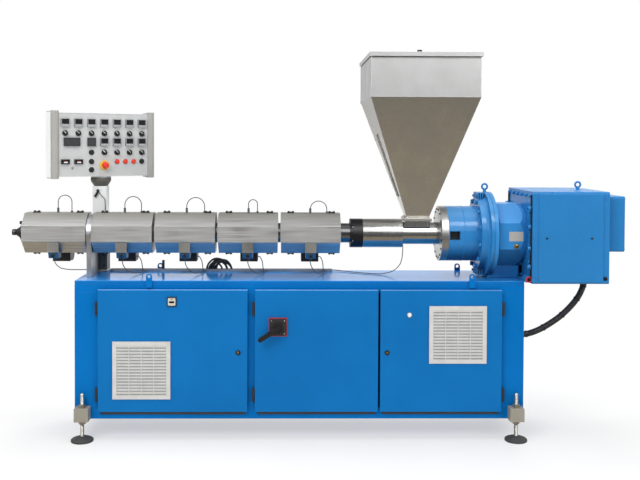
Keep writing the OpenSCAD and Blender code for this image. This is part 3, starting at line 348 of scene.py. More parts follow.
class Piece:
    """A detail made of several shapes in place, finished as one object that rides on a body."""

    SHARP_DEG = 38

    def __init__(self, name, where=IDENTITY):
        self.name, self.where = name, where
        self.mesh = bmesh.new()
        self.materials = []

    def keep(self, verts, material):
        """Gives the faces of new points their material."""
        if material not in self.materials:
            self.materials.append(material)
        index = self.materials.index(material)
        for face in {f for v in verts for f in v.link_faces}:
            face.material_index = index

    def skin(self, rings, material, closed=False):
        """Covers rings of points with faces; an open row of rings gets flat ends."""
        rings = [[self.mesh.verts.new(p) for p in ring] for ring in rings]
        following = rings[1:] + rings[:1] if closed else rings[1:]
        for lower, upper in zip(rings, following):
            for k in range(len(lower)):
                n = (k + 1) % len(lower)
                self.mesh.faces.new((lower[k], lower[n], upper[n], upper[k]))
        if not closed:
            self.mesh.faces.new(rings[0][::-1])
            self.mesh.faces.new(rings[-1])
        self.keep([v for ring in rings for v in ring], material)

    def box(self, corner, opposite, material, turn=IDENTITY):
        """A box between two opposite corners."""
        a, b = Vector(corner), Vector(opposite)
        size = [abs(d) for d in b - a]
        place = turn @ Matrix.Translation((a + b) / 2) @ Matrix.Diagonal((*size, 1))
        self.keep(bmesh.ops.create_cube(self.mesh, size=1, matrix=place)["verts"], material)

    def plate(self, x, z, half_w, half_h, y, thick, material):
        """A flat box on a surface at y that looks to the front."""
        self.box((x - half_w, y - thick, z - half_h), (x + half_w, y, z + half_h), material)

    def border(self, x, z, half_w, half_h, y, wide, thick, material):
        """A raised border inside a rectangle on a surface at y that looks to the front."""
        half = wide / 2
        for side in (-1, 1):
            self.plate(x, z + side * (half_h - half), half_w, half, y, thick, material)
            self.plate(x + side * (half_w - half), z, half, half_h - wide, y, thick, material)

    def lathe(self, profile, start, axis, material, sides=32, closed=False):
        """Revolves (distance along the axis, radius) points; open profiles get flat ends."""
        turn = Matrix.Translation(start) @ Vector(axis).to_track_quat("Z", "Y").to_matrix().to_4x4()
        rings = [[turn @ Vector((radius * c, radius * s, along)) for c, s in circle(sides)]
                 for along, radius in profile]
        self.skin(rings, material, closed)

    def rod(self, start, axis, radius, length, material, sides=24, chamfer=0.0):
        profile = [(0, radius), (length - chamfer, radius)]
        if chamfer:
            profile.append((length, radius - chamfer))
        self.lathe(profile, start, axis, material, sides)

    def band(self, start, axis, inner, outer, width, material, sides):
        """A flat ring with a square section."""
        profile = [(0, inner), (0, outer), (width, outer), (width, inner)]
        self.lathe(profile, start, axis, material, sides, closed=True)

    def ring(self, centre, axis, radius, thick, material, sides=32):
        """A ring with a round section."""
        profile = [(thick * s, radius + thick * c) for c, s in circle(10)]
        self.lathe(profile[::-1], centre, axis, material, sides, closed=True)

    def tube(self, points, radius, material, sides=10, waves=None):
        """A round tube along points; waves gives a radius change for each of them."""
        points = [Vector(p) for p in points]
        rings, side = [], (points[1] - points[0]).normalized().orthogonal().normalized()
        for i, point in enumerate(points):
            ahead = (points[min(i + 1, len(points) - 1)] - points[max(i - 1, 0)]).normalized()
            side = (side - ahead * side.dot(ahead)).normalized()
            up = ahead.cross(side)
            r = radius + (waves[i] if waves else 0.0)
            rings.append([point + r * (c * side + s * up) for c, s in circle(sides)])
        self.skin(rings, material)

    def hex_bolt(self, start, axis, across, material, washer=True):
        """A hex head with a chamfered top, on a washer."""
        r = across / 2 / math.cos(math.pi / 6)
        washer_t = across * 0.12
        place = Vector(start)
        if washer:
            self.rod(place, axis, r * 1.25, washer_t, material, 20)
            place = place + axis * washer_t
        self.lathe([(0, r), (across * 0.5, r), (across * 0.62, r * 0.82)], place, axis, material, 6)

    def screw(self, start, axis, radius, material):
        """A socket head with a rounded rim and a recess."""
        shares = ((0, 1), (0.6, 1), (0.85, 0.8), (0.85, 0.45), (0.35, 0.42))
        self.lathe([(a * radius, b * radius) for a, b in shares], start, axis, material, 16)

    def screw_circle(self, x, count, radius, head_r, material):
        """Screws evenly round the screw axis, with their heads towards the die."""
        for c, s in circle(count, 0.5):
            self.screw((x, AXIS_Y + radius * c, AXIS_Z + radius * s), LEFT, head_r, material)

    def done(self, body, slot, bevel=0.0, replaces=()):
        bmesh.ops.transform(self.mesh, matrix=self.where, verts=self.mesh.verts)
        bmesh.ops.recalc_face_normals(self.mesh, faces=self.mesh.faces)
        data = bpy.data.meshes.new(self.name)
        self.mesh.to_mesh(data)
        self.mesh.free()
        for material in self.materials:
            data.materials.append(material)
        data.shade_smooth()
        data.set_sharp_from_angle(angle=math.radians(self.SHARP_DEG))
        made = bpy.data.objects.new(self.name, data)
        bpy.context.scene.collection.objects.link(made)
        if bevel:
            soften(made, bevel)
        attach(made, body)
        if replaces:
            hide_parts(*replaces)
        return made


BEVEL_SEGMENTS, BEVEL_DEG = 2, 32
WELD_DISTANCE, FLAT_DEG = 0.00002, 0.8


def soften(obj, width):
    """Rounds the sharp edges of an object and keeps its flats flat."""
    bevel = obj.modifiers.new("edges", "BEVEL")
    bevel.width = width
    bevel.segments = BEVEL_SEGMENTS
    bevel.limit_method = "ANGLE"
    bevel.angle_limit = math.radians(BEVEL_DEG)
    bevel.use_clamp_overlap = True
    normals = obj.modifiers.new("normals", "WEIGHTED_NORMAL")
    normals.keep_sharp = True


def dress(node, material, bevel=0.0):
    """Gives a CAD node its finish, and rounds its edges without touching its mesh."""
    obj = NODES[node]
    obj.data.materials.clear()
    obj.data.materials.append(material)
    if bevel:
        weld = obj.modifiers.new("weld", "WELD")
        weld.merge_threshold = WELD_DISTANCE
        flats = obj.modifiers.new("flats", "DECIMATE")
        flats.decimate_type = "DISSOLVE"
        flats.angle_limit = math.radians(FLAT_DEG)
        soften(obj, bevel)


def smooth_path(points, steps):
    """A curve through points, as more points."""
    points = [Vector(p) for p in points]
    padded = [points[0], *points, points[-1]]
    found = []
    for a, b, c, d in zip(padded, padded[1:], padded[2:], padded[3:]):
        for k in range(steps):
            t = k / steps
            found.append((2 * b + (c - a) * t + (2 * a - 5 * b + 4 * c - d) * t ** 2
                          + (3 * b - a - 3 * c + d) * t ** 3) / 2)
    return found + [points[-1]]


make_camera()

# Conduit from the bed to the motor: the route repeats the part's own points
CONDUIT_D = 0.035
CONDUIT_ROUTE = [
    (1.1683, 0.525), (1.175, 0.525), (1.205, 0.528), (1.235, 0.535), (1.265, 0.546), (1.295, 0.56),
    (1.325, 0.577), (1.355, 0.596), (1.384, 0.616), (1.411, 0.638), (1.437, 0.662), (1.461, 0.687),
    (1.483, 0.713), (1.502, 0.74), (1.515, 0.764), (1.525, 0.788), (1.531, 0.806), (1.533, 0.815),
    (1.533, 0.8237)]
CONDUIT_RIB, RIBS_A_POINT = 0.0012, 9
# Places of the ties along the conduit, and how wide and thick they are
TIES = (0.12, 0.3, 0.5, 0.7, 0.88)
TIE_W, TIE_INNER, TIE_OUTER = 0.008, CONDUIT_D / 2 + 0.0004, CONDUIT_D / 2 + 0.002


def make_conduit():
    """A corrugated conduit with cable ties round it."""
    path = smooth_path([(x, AXIS_Y, z) for x, z in CONDUIT_ROUTE], RIBS_A_POINT)
    waves = [-CONDUIT_RIB * (i % 2) for i in range(len(path))]
    conduit = Piece("conduit_hose")
    conduit.tube(path, CONDUIT_D / 2, CABLE, 24, waves)
    hose = conduit.done("machine", "black_plastic", replaces=["motor_conduit"])
    ties = Piece("conduit_ties")
    for share in TIES:
        i = int(share * (len(path) - 1))
        ahead = (path[i + 1] - path[i - 1]).normalized()
        ties.band(path[i] - ahead * TIE_W / 2, ahead, TIE_INNER, TIE_OUTER, TIE_W, KNOB, 24)
    clips = ties.done("machine", "black_plastic")


make_conduit()

# Finish and edge radius of each CAD node that shows
FINISHES = {
    BED_TOP: {"bed_top": 0.003},
    BED: {"bed_floor": 0.0, "bed_back_wall": 0.001, "bed_end_walls": 0.001,
          "bed_front_rails": 0.0015, "bed_front_posts": 0.0015, "lifting_lugs": 0.0015},
    DOOR: {"door_left": 0.0035, "door_middle": 0.0035, "door_right": 0.0035},
    LANTERN: {"lantern": 0.002},
    DRIVE: {"gearbox_foot": 0.003, "motor": 0.003, "motor_end_box": 0.003, "joint_bolts": 0.0015},
    GEAR: {"gearbox": 0.004, "lifting_eyes": 0.0},
    COVER: {"heater_covers": 0.004},
    BOX_PAINT: {"terminal_boxes": 0.0015},
    BIN: {"hopper_bin": 0.002, "hopper_lid": 0.0012, "lid_hinges": 0.0006},
    CONE: {"hopper_cone": 0.003, "hopper_flange": 0.0015},
    TURNED: {"feed_housing": 0.0015},
    RING: {"barrel_flange": 0.002},
    SUPPORT: {"barrel_support": 0.0015},
    BARREL: {"barrel": 0.0},
    IRON: {"die_adapter": 0.0015, "feed_collar": 0.0015},
    BRACKET: {"foot_brackets": 0.002},
    BLACK: {"hinge_pins": 0.0015, "door_left_knuckles": 0.0015, "door_middle_knuckles": 0.0015,
            "door_right_knuckles": 0.0015, "switch_plate": 0.0015, "conduit_glands": 0.0015,
            "zone_blowers": 0.003, "panel_instruments": 0.0008},
    KNOB: {"switch_handle": 0.003, "panel_controls": 0.0008},
    VENT: {"door_left_vent": 0.0, "door_right_vent": 0.0},
    LEAD: {"thermocouple_leads": 0.0, "heater_leads": 0.0},
    TRAY: {"cable_tray": 0.0006},
    GLASS: {"sight_strip": 0.001},
    FACE: {"panel_box": 0.002},
    COLUMN: {"panel_column": 0.004},
    COUPLING: {"panel_coupling": 0.004},
    CAP: {"panel_caps": 0.0015},
    LAMP: {"panel_lamps": 0.0015},
    YELLOW: {"stop_collar": 0.0015},
    STOP: {"stop_button": 0.003},
}
for finish, nodes in FINISHES.items():
    for name, radius in nodes.items():
        dress(name, finish, radius)


# Doors


def make_vent_gap_shades():
    """A dark mat behind the slats of each vent, painted shade for the gaps between them, and the vent's
    screws.
    """
    rim, back, thick, screw_r = 0.022, 0.003, 0.0006, 0.003
    for side in ("left", "right"):
        low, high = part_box(f"door_{side}_vent")
        mat = Piece(f"vent_gap_shade_{side}")
        mat.box((low.x + rim, high.y - back - thick, low.z + rim),
                (high.x - rim, high.y - back, high.z - rim), VENT_GAP_SHADE)
        for x, z in corners(low.xz, high.xz, rim / 2):
            mat.screw((x, low.y, z), FRONT, screw_r, VENT)
        mat.done(f"door_{side}", "vent_plastic")


def make_door_shade_strips():
    """A dark rubber strip behind the lower edge of each door, with a lip at its foot: a painted shadow under
    the door.
    """
    inset, drop, rise, gap, thick, lip = 0.012, 0.018, 0.02, 0.0004, 0.005, 0.0015
    for side in ("left", "middle", "right"):
        low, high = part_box(f"door_{side}")
        x0, x1, y, foot = low.x + inset, high.x - inset, high.y + gap, low.z - drop
        shade_strip = Piece(f"door_shade_strip_{side}")
        shade_strip.box((x0, y, foot), (x1, y + thick, low.z + rise), RUBBER)
        shade_strip.box((x0, y + thick, foot), (x1, y + thick + lip, foot + drop / 2), RUBBER)
        shade_strip.done(f"door_{side}", "black_plastic", bevel=0.0012)


LOCK_Z, LOCK_R = 0.476, 0.013


def key_lock(piece, x, y):
    """A round lock with a bevelled rim, a brass core and a dark key slot."""
    deep, core_y, slot_w, slot_h = 0.006, 0.0045, 0.0012, 0.005
    rim = [(0, LOCK_R), (0.004, LOCK_R), (deep, LOCK_R * 0.88), (deep, LOCK_R * 0.62),
           (core_y, LOCK_R * 0.58)]
    piece.lathe(rim, (x, y, LOCK_Z), FRONT, IRON)
    piece.rod((x, y - core_y, LOCK_Z), FRONT, LOCK_R * 0.5, 0.002, BRASS, 20, chamfer=0.0006)
    # The dark plate stands for the shaded key slot: painted shade.
    piece.plate(x, LOCK_Z, slot_w, slot_h, y - deep, 0.0009, KNOB)


def make_door_fittings():
    """Locks, the hour meter and the white lamp on the doors."""
    low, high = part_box("door_left_fittings")
    face = high.y
    left = Piece("left_lock_and_meter")
    key_lock(left, high.x - LOCK_R, face)
    half, rim, body_t, rim_t, dial_t = 0.0255, 0.005, 0.005, 0.003, 0.001
    window_w, window_h, window_z, window_t, screw_z, screw_r = 0.0135, 0.0055, 0.002, 0.0006, 0.0125, 0.003
    x, z, dial = low.x + half, high.z - half, face - body_t - dial_t
    left.plate(x, z, half, half, face, body_t, BLACK)
    left.border(x, z, half, half, face - body_t, rim, rim_t, BLACK)
    left.plate(x, z, half - rim, half - rim, face - body_t, dial_t, DIAL)
    left.plate(x, z - window_z, window_w, window_h, dial, window_t, DISPLAY)
    left.screw((x, dial, z + screw_z), FRONT, screw_r, BLACK)
    left.done("door_left", "fitting_metal", bevel=0.0006, replaces=["door_left_fittings"])

    low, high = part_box("door_right_fittings")
    lamp_r, glass_share, base_t, dome_t = 0.014, 0.8, 0.005, 0.009
    lamp = (high.x - lamp_r, face, high.z - lamp_r)
    base = [(0, lamp_r), (0.004, lamp_r), (base_t, lamp_r * 0.9), (base_t, lamp_r * glass_share)]
    angles = [math.radians(d) for d in (0, 20, 40, 60, 78)]
    dome = [(base_t + dome_t * math.sin(a), lamp_r * glass_share * math.cos(a)) for a in angles]
    right = Piece("right_lock_and_lamp")
    key_lock(right, low.x + LOCK_R, face)
    right.lathe(base, lamp, FRONT, ZINC)
    right.lathe(dome, lamp, FRONT, WHITE_LAMP)
    right.done("door_right", "fitting_metal", replaces=["door_right_fittings"])


def make_switch_trim():
    """A red edge round the main switch and screws in its plate."""
    low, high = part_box("switch_plate")
    x, z = (low.x + high.x) / 2, (low.z + high.z) / 2
    half_w, half_h = (high.x - low.x) / 2, (high.z - low.z) / 2
    edge, deep, inset, screw_r = 0.00175, 0.009, 0.011, 0.0035
    trim = Piece("switch_trim")
    for side in (-1, 1):
        trim.plate(x + side * (half_w + edge), z, edge, half_h + 2 * edge, high.y, deep, RED)
        trim.plate(x, z + side * (half_h + edge), half_w, edge, high.y, deep, RED)
    for screw_x, screw_z in corners(low.xz, high.xz, inset):
        trim.screw((screw_x, low.y, screw_z), FRONT, screw_r, ZINC)
    trim.done("door_middle", "black_plastic", bevel=0.0008)


make_vent_gap_shades()
make_door_shade_strips()
make_door_fittings()
make_switch_trim()


# Feet


def spindle_thread(tall, radius, pitch):
    """The profile of a thread with a chamfered end."""
    core, end = radius * 0.86, 0.003
    profile = [(0.0, core)]
    for k in range(int((tall - 0.004) / pitch)):
        profile += [((k + 0.25) * pitch, core), ((k + 0.75) * pitch, radius)]
    return profile + [(tall - end, core), (tall, radius * 0.7)]


def ribbed_pad(radius, neck_r):
    """The profile of a pad with four steps towards its neck."""
    rim, step, lip, tread = 0.012, 0.0032, 0.0022, 0.004
    profile = [(0, radius * 0.96), (0.002, radius), (rim - 0.002, radius), (rim, radius * 0.97)]
    for k in range(4):
        r = radius * (0.9 - 0.14 * k)
        z = rim + step * (k + 1)
        profile += [(z - lip, r + tread / 2), (z, r), (z, r - tread)]
    return profile + [(0.0255, neck_r), (0.026, neck_r * 0.8)]


def make_feet():
    """Threaded spindles with chamfered nuts, and ribbed pads."""
    low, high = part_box("foot_spindles")
    pad_low, pad_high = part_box("foot_pads")
    bracket_low, bracket_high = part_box("foot_brackets")
    pad_r, neck_r, spindle_r, pitch = 0.06, 0.022, 0.011, 0.005
    nut_r, chamfer, upper_t, lower_t, lower_drop = 0.02, 0.002, 0.018, 0.0165, 0.017
    nuts = ((bracket_high.z, upper_t), (bracket_low.z - lower_drop, lower_t))
    spindles, pads = Piece("spindles_threaded"), Piece("pads_ribbed")
    for x, y in corners(pad_low.xy, pad_high.xy, pad_r):
        spindles.lathe(spindle_thread(high.z - low.z, spindle_r, pitch), (x, y, low.z), UP, ZINC, 16)
        for z, tall in nuts:
            nut = [(0, nut_r * 0.86), (chamfer, nut_r), (tall - chamfer, nut_r), (tall, nut_r * 0.86)]
            spindles.lathe(nut, (x, y, z), UP, ZINC, 6)
        pads.lathe(ribbed_pad(pad_r, neck_r), (x, y, pad_low.z), UP, RUBBER, 48)
    spindles.done("machine", "polished_steel", replaces=["foot_spindles"])
    pads.done("machine", "pad_rubber", replaces=["foot_pads"])


make_feet()


# Barrel

COVERS_LOW, COVERS_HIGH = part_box("heater_covers")
FIRST_LEN, COVER_LEN, COVER_PITCH = 0.35, 0.333, 0.347
SECOND_X = COVERS_HIGH.x - COVER_LEN - 3 * COVER_PITCH
ZONES = [(COVERS_LOW.x, FIRST_LEN)] + [(SECOND_X + k * COVER_PITCH, COVER_LEN) for k in range(4)]


def make_cover_clips():
    """Toggle clips on top of and under each cover."""
    shares, half_w, half_d, sunk, proud = (0.17, 0.86), 0.019, 0.014, 0.002, 0.005
    lever_w, lever_d, lever, bolt_x, across = 0.005, 0.008, 0.009, 0.012, 0.011
    y = AXIS_Y - 0.01
    clips = Piece("cover_clips")
    for x in [start + share * length for start, length in ZONES for share in shares]:
        for side, way, z in ((1, UP, COVERS_HIGH.z), (-1, DOWN, COVERS_LOW.z)):
            top = z + side * proud
            clips.box((x - half_w, y - half_d, z - side * sunk), (x + half_w, y + half_d, top), IRON)
            for dx in (-bolt_x, bolt_x):
                clips.hex_bolt((x + dx, y, top), way, across, IRON, washer=False)
            clips.box((x - lever_w, y - lever_d, top), (x + lever_w, y + lever_d, z + side * lever), ZINC)
    clips.done("machine", "dark_steel", bevel=0.0008)


def make_box_fittings():
    """Lid seams, screws and cable glands on the terminal boxes, and fins on the blowers."""
    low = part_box("terminal_boxes")[0]
    half, skin, proud, seam_h = 0.031, 0.0018, 0.004, 0.0025
    lid_low, lid_high, screw_x, screw_z = AXIS_Z - 0.1, AXIS_Z - 0.046, 0.019, AXIS_Z - 0.06
    gland = [(0, 0.011), (0.003, 0.011), (0.004, 0.009), (0.004, 0.006), (0.002, 0.0055)]
    fin_reach, fin_t, fin_inner, fin_outer = 0.045, 0.004, 0.034, 0.0385
    fan_y, fan_z, slat_reach = AXIS_Y + 0.136, AXIS_Z - 0.136, 0.04
    slat_y, slat_low, slat_high = (AXIS_Y + 0.062, AXIS_Y + 0.067), AXIS_Z - 0.165, AXIS_Z - 0.112
    trim, fins = Piece("box_fittings"), Piece("blower_fins")
    for mid in [start + length / 2 for start, length in ZONES]:
        for dx in (-screw_x, screw_x):
            trim.screw((mid + dx, low.y - skin, screw_z), FRONT, 0.0035, ZINC)
        trim.box((mid - half, low.y - skin, lid_low), (mid + half, low.y, lid_high), PLATE)
        trim.box((mid - half, low.y - proud, lid_low), (mid + half, low.y - skin, lid_low + seam_h), ZINC)
        trim.lathe(gland, (mid, low.y, AXIS_Z - 0.117), FRONT, KNOB, 20)
        trim.rod((mid, AXIS_Y - 0.072, low.z), DOWN, 0.0075, 0.012, BLACK, 12, chamfer=0.002)
        for x in evenly(mid - fin_reach, mid + fin_reach, 7):
            fins.band((x - fin_t / 2, fan_y, fan_z), RIGHT, fin_inner, fin_outer, fin_t, BLACK, 28)
        for x in evenly(mid - slat_reach, mid + slat_reach, 6):
            fins.box((x - fin_t / 2, slat_y[0], slat_low), (x + fin_t / 2, slat_y[1], slat_high), BLACK)
    trim.done("machine", "cover_steel")
    fins.done("machine", "black_plastic")


def make_tray_fingers():
    """The slotted side of the wiring tray."""
    low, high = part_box("cable_tray")
    pitch, finger, start, foot, proud, sunk, rail = 0.0125, 0.0075, 0.004, 0.006, 0.0012, 0.0004, 0.002
    tray = Piece("tray_fingers")
    for k in range(int((high.x - low.x) / pitch)):
        x = low.x + start + pitch * k
        tray.box((x, low.y - proud, low.z + foot), (x + finger, low.y + sunk, high.z), TRAY)
    tray.box((low.x, low.y - rail, high.z - rail), (high.x, low.y + rail, high.z + rail), TRAY)
    tray.done("machine", "tray_metal")


def make_cable_bundle():
    """The bundle of cables that rises from the tray, and the plug beside it."""
    low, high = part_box("cable_tray")
    middle_x, middle_y = SECOND_X + 2 * COVER_PITCH - 0.007, (low.y + high.y) / 2
    foot, cable_r, plug_x, plug_z = 0.006, 0.0055, 0.308, 0.002
    # Each bend: share of the reach, distance to the front and share of the rise
    bends = ((-1, 0, 0), (-0.8, 0.004, 0.6), (-0.3, 0.008, 1), (0.3, 0.008, 1), (0.8, 0.004, 0.6), (1, 0, 0))
    bundle = Piece("cable_bundle")
    for k in range(9):
        reach, rise = 0.04 + 0.003 * k, 0.05 + 0.006 * (k * 5 % 4)
        x, y = middle_x + 0.006 * (k * 4 % 9 - 4), middle_y + 0.0042 * (k - 4)
        points = [(x + reach * along, y - ahead, low.z + max(rise * up, foot)) for along, ahead, up in bends]
        bundle.tube(smooth_path(points, 6), cable_r, CABLE)
    plug = [(0, 0.011), (0.004, 0.011), (0.006, 0.008), (0.05, 0.0075), (0.056, 0.009), (0.06, 0.006)]
    bundle.lathe(plug, (low.x + plug_x, middle_y, low.z + plug_z), UP, KNOB, 20)
    bundle.done("machine", "black_plastic")


def make_die_trim():
    """Clamp screws round the die adapter, a lug above it and a ring round its mouth."""
    low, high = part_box("die_adapter")
    face, lug = high.x - 0.026, 0.012
    trim = Piece("die_trim")
    trim.screw_circle(face, count=6, radius=0.043, head_r=0.0055, material=IRON)
    trim.box((face - lug, AXIS_Y - lug, AXIS_Z + 0.046), (face + 0.01, AXIS_Y + lug, AXIS_Z + 0.062), IRON)
    trim.ring((low.x + 0.012, AXIS_Y, AXIS_Z), RIGHT, 0.0172, 0.0016, ZINC)
    trim.done("machine", "dark_steel", bevel=0.0008)


make_cover_clips()
make_box_fittings()
make_tray_fingers()
make_cable_bundle()
make_die_trim()


# Feed section and drive


def make_feed_trim():
    """Bolts in the collar's slots, in the barrel flange and in the hopper's base, and the bush's ring."""
    low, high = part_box("hopper_flange")
    slot_depth, base_inset, across, bush_len = 0.0155, 0.014, 0.011, 0.223
    collar_x, flange_x, bush_x = [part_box(n)[0].x for n in ("feed_collar", "barrel_flange", "feed_housing")]
    trim = Piece("feed_trim")
    trim.screw_circle(collar_x + slot_depth, count=6, radius=0.074, head_r=0.0065, material=ZINC)
    trim.screw_circle(flange_x, count=16, radius=0.137, head_r=0.005, material=IRON)
    for x, y in corners(low.xy, high.xy, base_inset):
        trim.hex_bolt((x, y, high.z), UP, across, ZINC)
    trim.ring((bush_x + bush_len, AXIS_Y, AXIS_Z), RIGHT, 0.0635, 0.0016, TURNED, 48)
    trim.done("machine", "polished_steel")


def make_lantern_trim():
    """The black guard in the lantern's window, seams, and bolted blocks on the joint ring."""
    low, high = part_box("lantern")
    radius, joint_r, block_x1 = 0.154, (high.z - low.z) / 2, high.x - 0.021
    x, y = low.x + 0.004, AXIS_Y - radius + 0.034
    wide, half_h, reach, skin, slat = 0.056, 0.024, 0.02, 0.003, 0.001
    trim = Piece("lantern_trim")
    trim.box((x, y - skin, AXIS_Z - half_h), (x + wide, y, AXIS_Z + half_h), KNOB)
    for z in evenly(AXIS_Z - reach, AXIS_Z + reach, 6):
        trim.box((x, y - 2 * skin, z - slat), (x + wide, y - skin, z + slat), BLACK)
    bead_x, sunk, proud, bead_w = low.x + 0.085, 0.002, 0.0012, 0.003
    trim.band((bead_x, AXIS_Y, AXIS_Z), RIGHT, radius - sunk, radius + proud, bead_w, DRIVE, 96)
    block_len, half_d, bolt_y, across = 0.039, 0.06, 0.04, 0.014
    mark_w, mark_foot, mark_top = 0.003, 0.008, 0.004
    block_x0, mark_y0, mark_y1 = block_x1 - block_len, AXIS_Y - half_d - 0.0015, AXIS_Y - half_d + 0.0005
    for side in (1, -1):
        z0, z1 = sorted(AXIS_Z + side * (joint_r - depth) for depth in (0.045, 0.003))
        trim.box((block_x0, AXIS_Y - half_d, z0), (block_x1, AXIS_Y + half_d, z1), DRIVE)
        for dy in (-bolt_y, 0.0, bolt_y):
            trim.hex_bolt((block_x0, AXIS_Y + dy, (z0 + z1) / 2), LEFT, across, DRIVE)
        # Dark strips stand for the shaded notches in the blocks' fronts: painted shade.
        for x in (block_x0 + 0.007, block_x0 + 0.02, block_x0 + 0.033):
            trim.box((x - mark_w, mark_y0, z0 + mark_foot), (x + mark_w, mark_y1, z1 - mark_top), IRON)
    trim.done("machine", "drive_blue", bevel=0.0015)
    seam_x, inner, outer, seam_w = high.x - 0.0008, joint_r - 0.004, joint_r + 0.0004, 0.0015
    seam = Piece("joint_seam")
    seam.band((seam_x, AXIS_Y, AXIS_Z), RIGHT, inner, outer, seam_w, IRON, 96)
    seam.done("machine", "drive_blue")


def make_gear_trim():
    """A bare nameplate with rivets, an oil plug, the drain with its red ring and the gearbox's seat."""
    end, motor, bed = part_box("gearbox")[1].x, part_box("motor")[0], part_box("bed_top")[1]
    face, plate_t, rivet_inset, rivet_r = AXIS_Y - 0.1725, 0.0015, 0.004, 0.002
    low, high = (end - 0.104, AXIS_Z - 0.027), (end - 0.026, AXIS_Z + 0.025)
    trim = Piece("gear_trim")
    trim.box((low[0], face - plate_t, low[1]), (high[0], face, high[1]), NAME_PLATE)
    for x, z in corners(low, high, rivet_inset):
        trim.screw((x, face - plate_t, z), FRONT, rivet_r, ZINC)
    plug_x, plug_z = end - 0.063, AXIS_Z - 0.055
    trim.hex_bolt((plug_x, face, plug_z), FRONT, 0.02, BRASS)
    trim.rod((plug_x, face - 0.014, plug_z), FRONT, 0.005, 0.002, IRON, 16)

    x, y, z, half, block_d = motor.x - 0.014, motor.y + 0.026, motor.z + 0.022, 0.016, 0.03
    red_ring = [(0, 0.011), (0, 0.0165), (0.008, 0.0165), (0.01, 0.0145), (0.01, 0.011)]
    trim.box((x - half, y, z - half), (motor.x + 0.002, y + block_d, z + half), DRIVE)
    trim.lathe(red_ring, (x, y, z), FRONT, RED, 28, closed=True)
    trim.rod((x, y, z), FRONT, 0.0108, 0.006, IRON, 20, chamfer=0.001)

    gap, seat_half, web_half, bolt_y, across = 0.0004, 0.185, 0.05, 0.14, 0.013
    x0, x1, seat, foot_top = bed.x + gap, motor.x - gap, bed.z + 0.006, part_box("gearbox_foot")[1].z
    trim.box((x0, AXIS_Y - seat_half, motor.z + 0.002), (x1, AXIS_Y + seat_half, seat), DRIVE)
    for x, top in ((x0, foot_top), (bed.x + 0.011, foot_top + 0.018)):
        trim.box((x, AXIS_Y - web_half, seat), (x1, AXIS_Y + web_half, top), DRIVE)
    for dy in (-bolt_y, bolt_y):
        trim.hex_bolt(((bed.x + motor.x) / 2, AXIS_Y + dy, seat), UP, across, DRIVE)
    trim.done("machine", "drive_blue", bevel=0.0006)


def make_motor_trim():
    """Cover screws, flange bolts, clamped strips and a corner plug on the motor, and its end grille."""
    low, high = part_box("motor")
    cover_xs, cover_z, cover_r, side_in, top_in, across = (1.242, 1.485), 1.099, 0.0055, 0.05, 0.024, 0.017
    trim = Piece("motor_trim")
    for x in cover_xs:
        trim.screw((x, low.y, cover_z), FRONT, cover_r, IRON)
        trim.screw((x, high.y, cover_z), BACK, cover_r, IRON)
    bolt_ys = evenly(low.y + side_in, high.y - side_in, 6)
    bolt_zs = evenly(low.z + top_in, high.z - top_in, 6)
    for y in bolt_ys:
        for z in bolt_zs if y in (bolt_ys[0], bolt_ys[-1]) else (bolt_zs[0], bolt_zs[-1]):
            trim.hex_bolt((low.x, y, z), LEFT, across, DRIVE)
    plug_y, plug_z = low.y + 0.006, 0.03
    for x, z in corners(low.xz, high.xz, 0.02, plug_z):
        trim.rod((x, plug_y, z), FRONT, 0.007, 0.004, DRIVE, 20, chamfer=0.0015)
    trim.rod((high.x - 0.022, plug_y, low.z + plug_z), FRONT, 0.011, 0.006, IRON, 24, chamfer=0.002)

    strip_in, strip_half, strip_t, strip_end, stud_len = 0.028, 0.006, 0.007, 0.02, 0.024
    for y in (low.y + strip_in, high.y - strip_in):
        trim.box((low.x - strip_t, y - strip_half, low.z + strip_end),
                 (low.x, y + strip_half, high.z - strip_end), IRON)
        for z in (low.z + 0.09, low.z + 0.19, high.z - 0.19, high.z - 0.09):
            trim.rod((low.x - stud_len, y, z), RIGHT, strip_half, stud_len, IRON, 16, chamfer=0.002)
            trim.hex_bolt((low.x - strip_t, y, z), LEFT, 0.02, DRIVE)

    low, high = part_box("motor_end_box")
    inset, slat_half, sunk, proud, screw_inset = 0.03, 0.0035, 0.001, 0.0025, 0.014
    for z in evenly(low.z + inset, high.z - inset, 9):
        trim.box((high.x - sunk, low.y + inset, z - slat_half),
                 (high.x + proud, high.y - inset, z + slat_half), DRIVE)
    for y, z in corners(low.yz, high.yz, screw_inset):
        trim.screw((high.x, y, z), RIGHT, 0.005, IRON)
    trim.done("machine", "drive_blue", bevel=0.0008)


make_feed_trim()
make_lantern_trim()
make_gear_trim()
make_motor_trim()


# Hopper


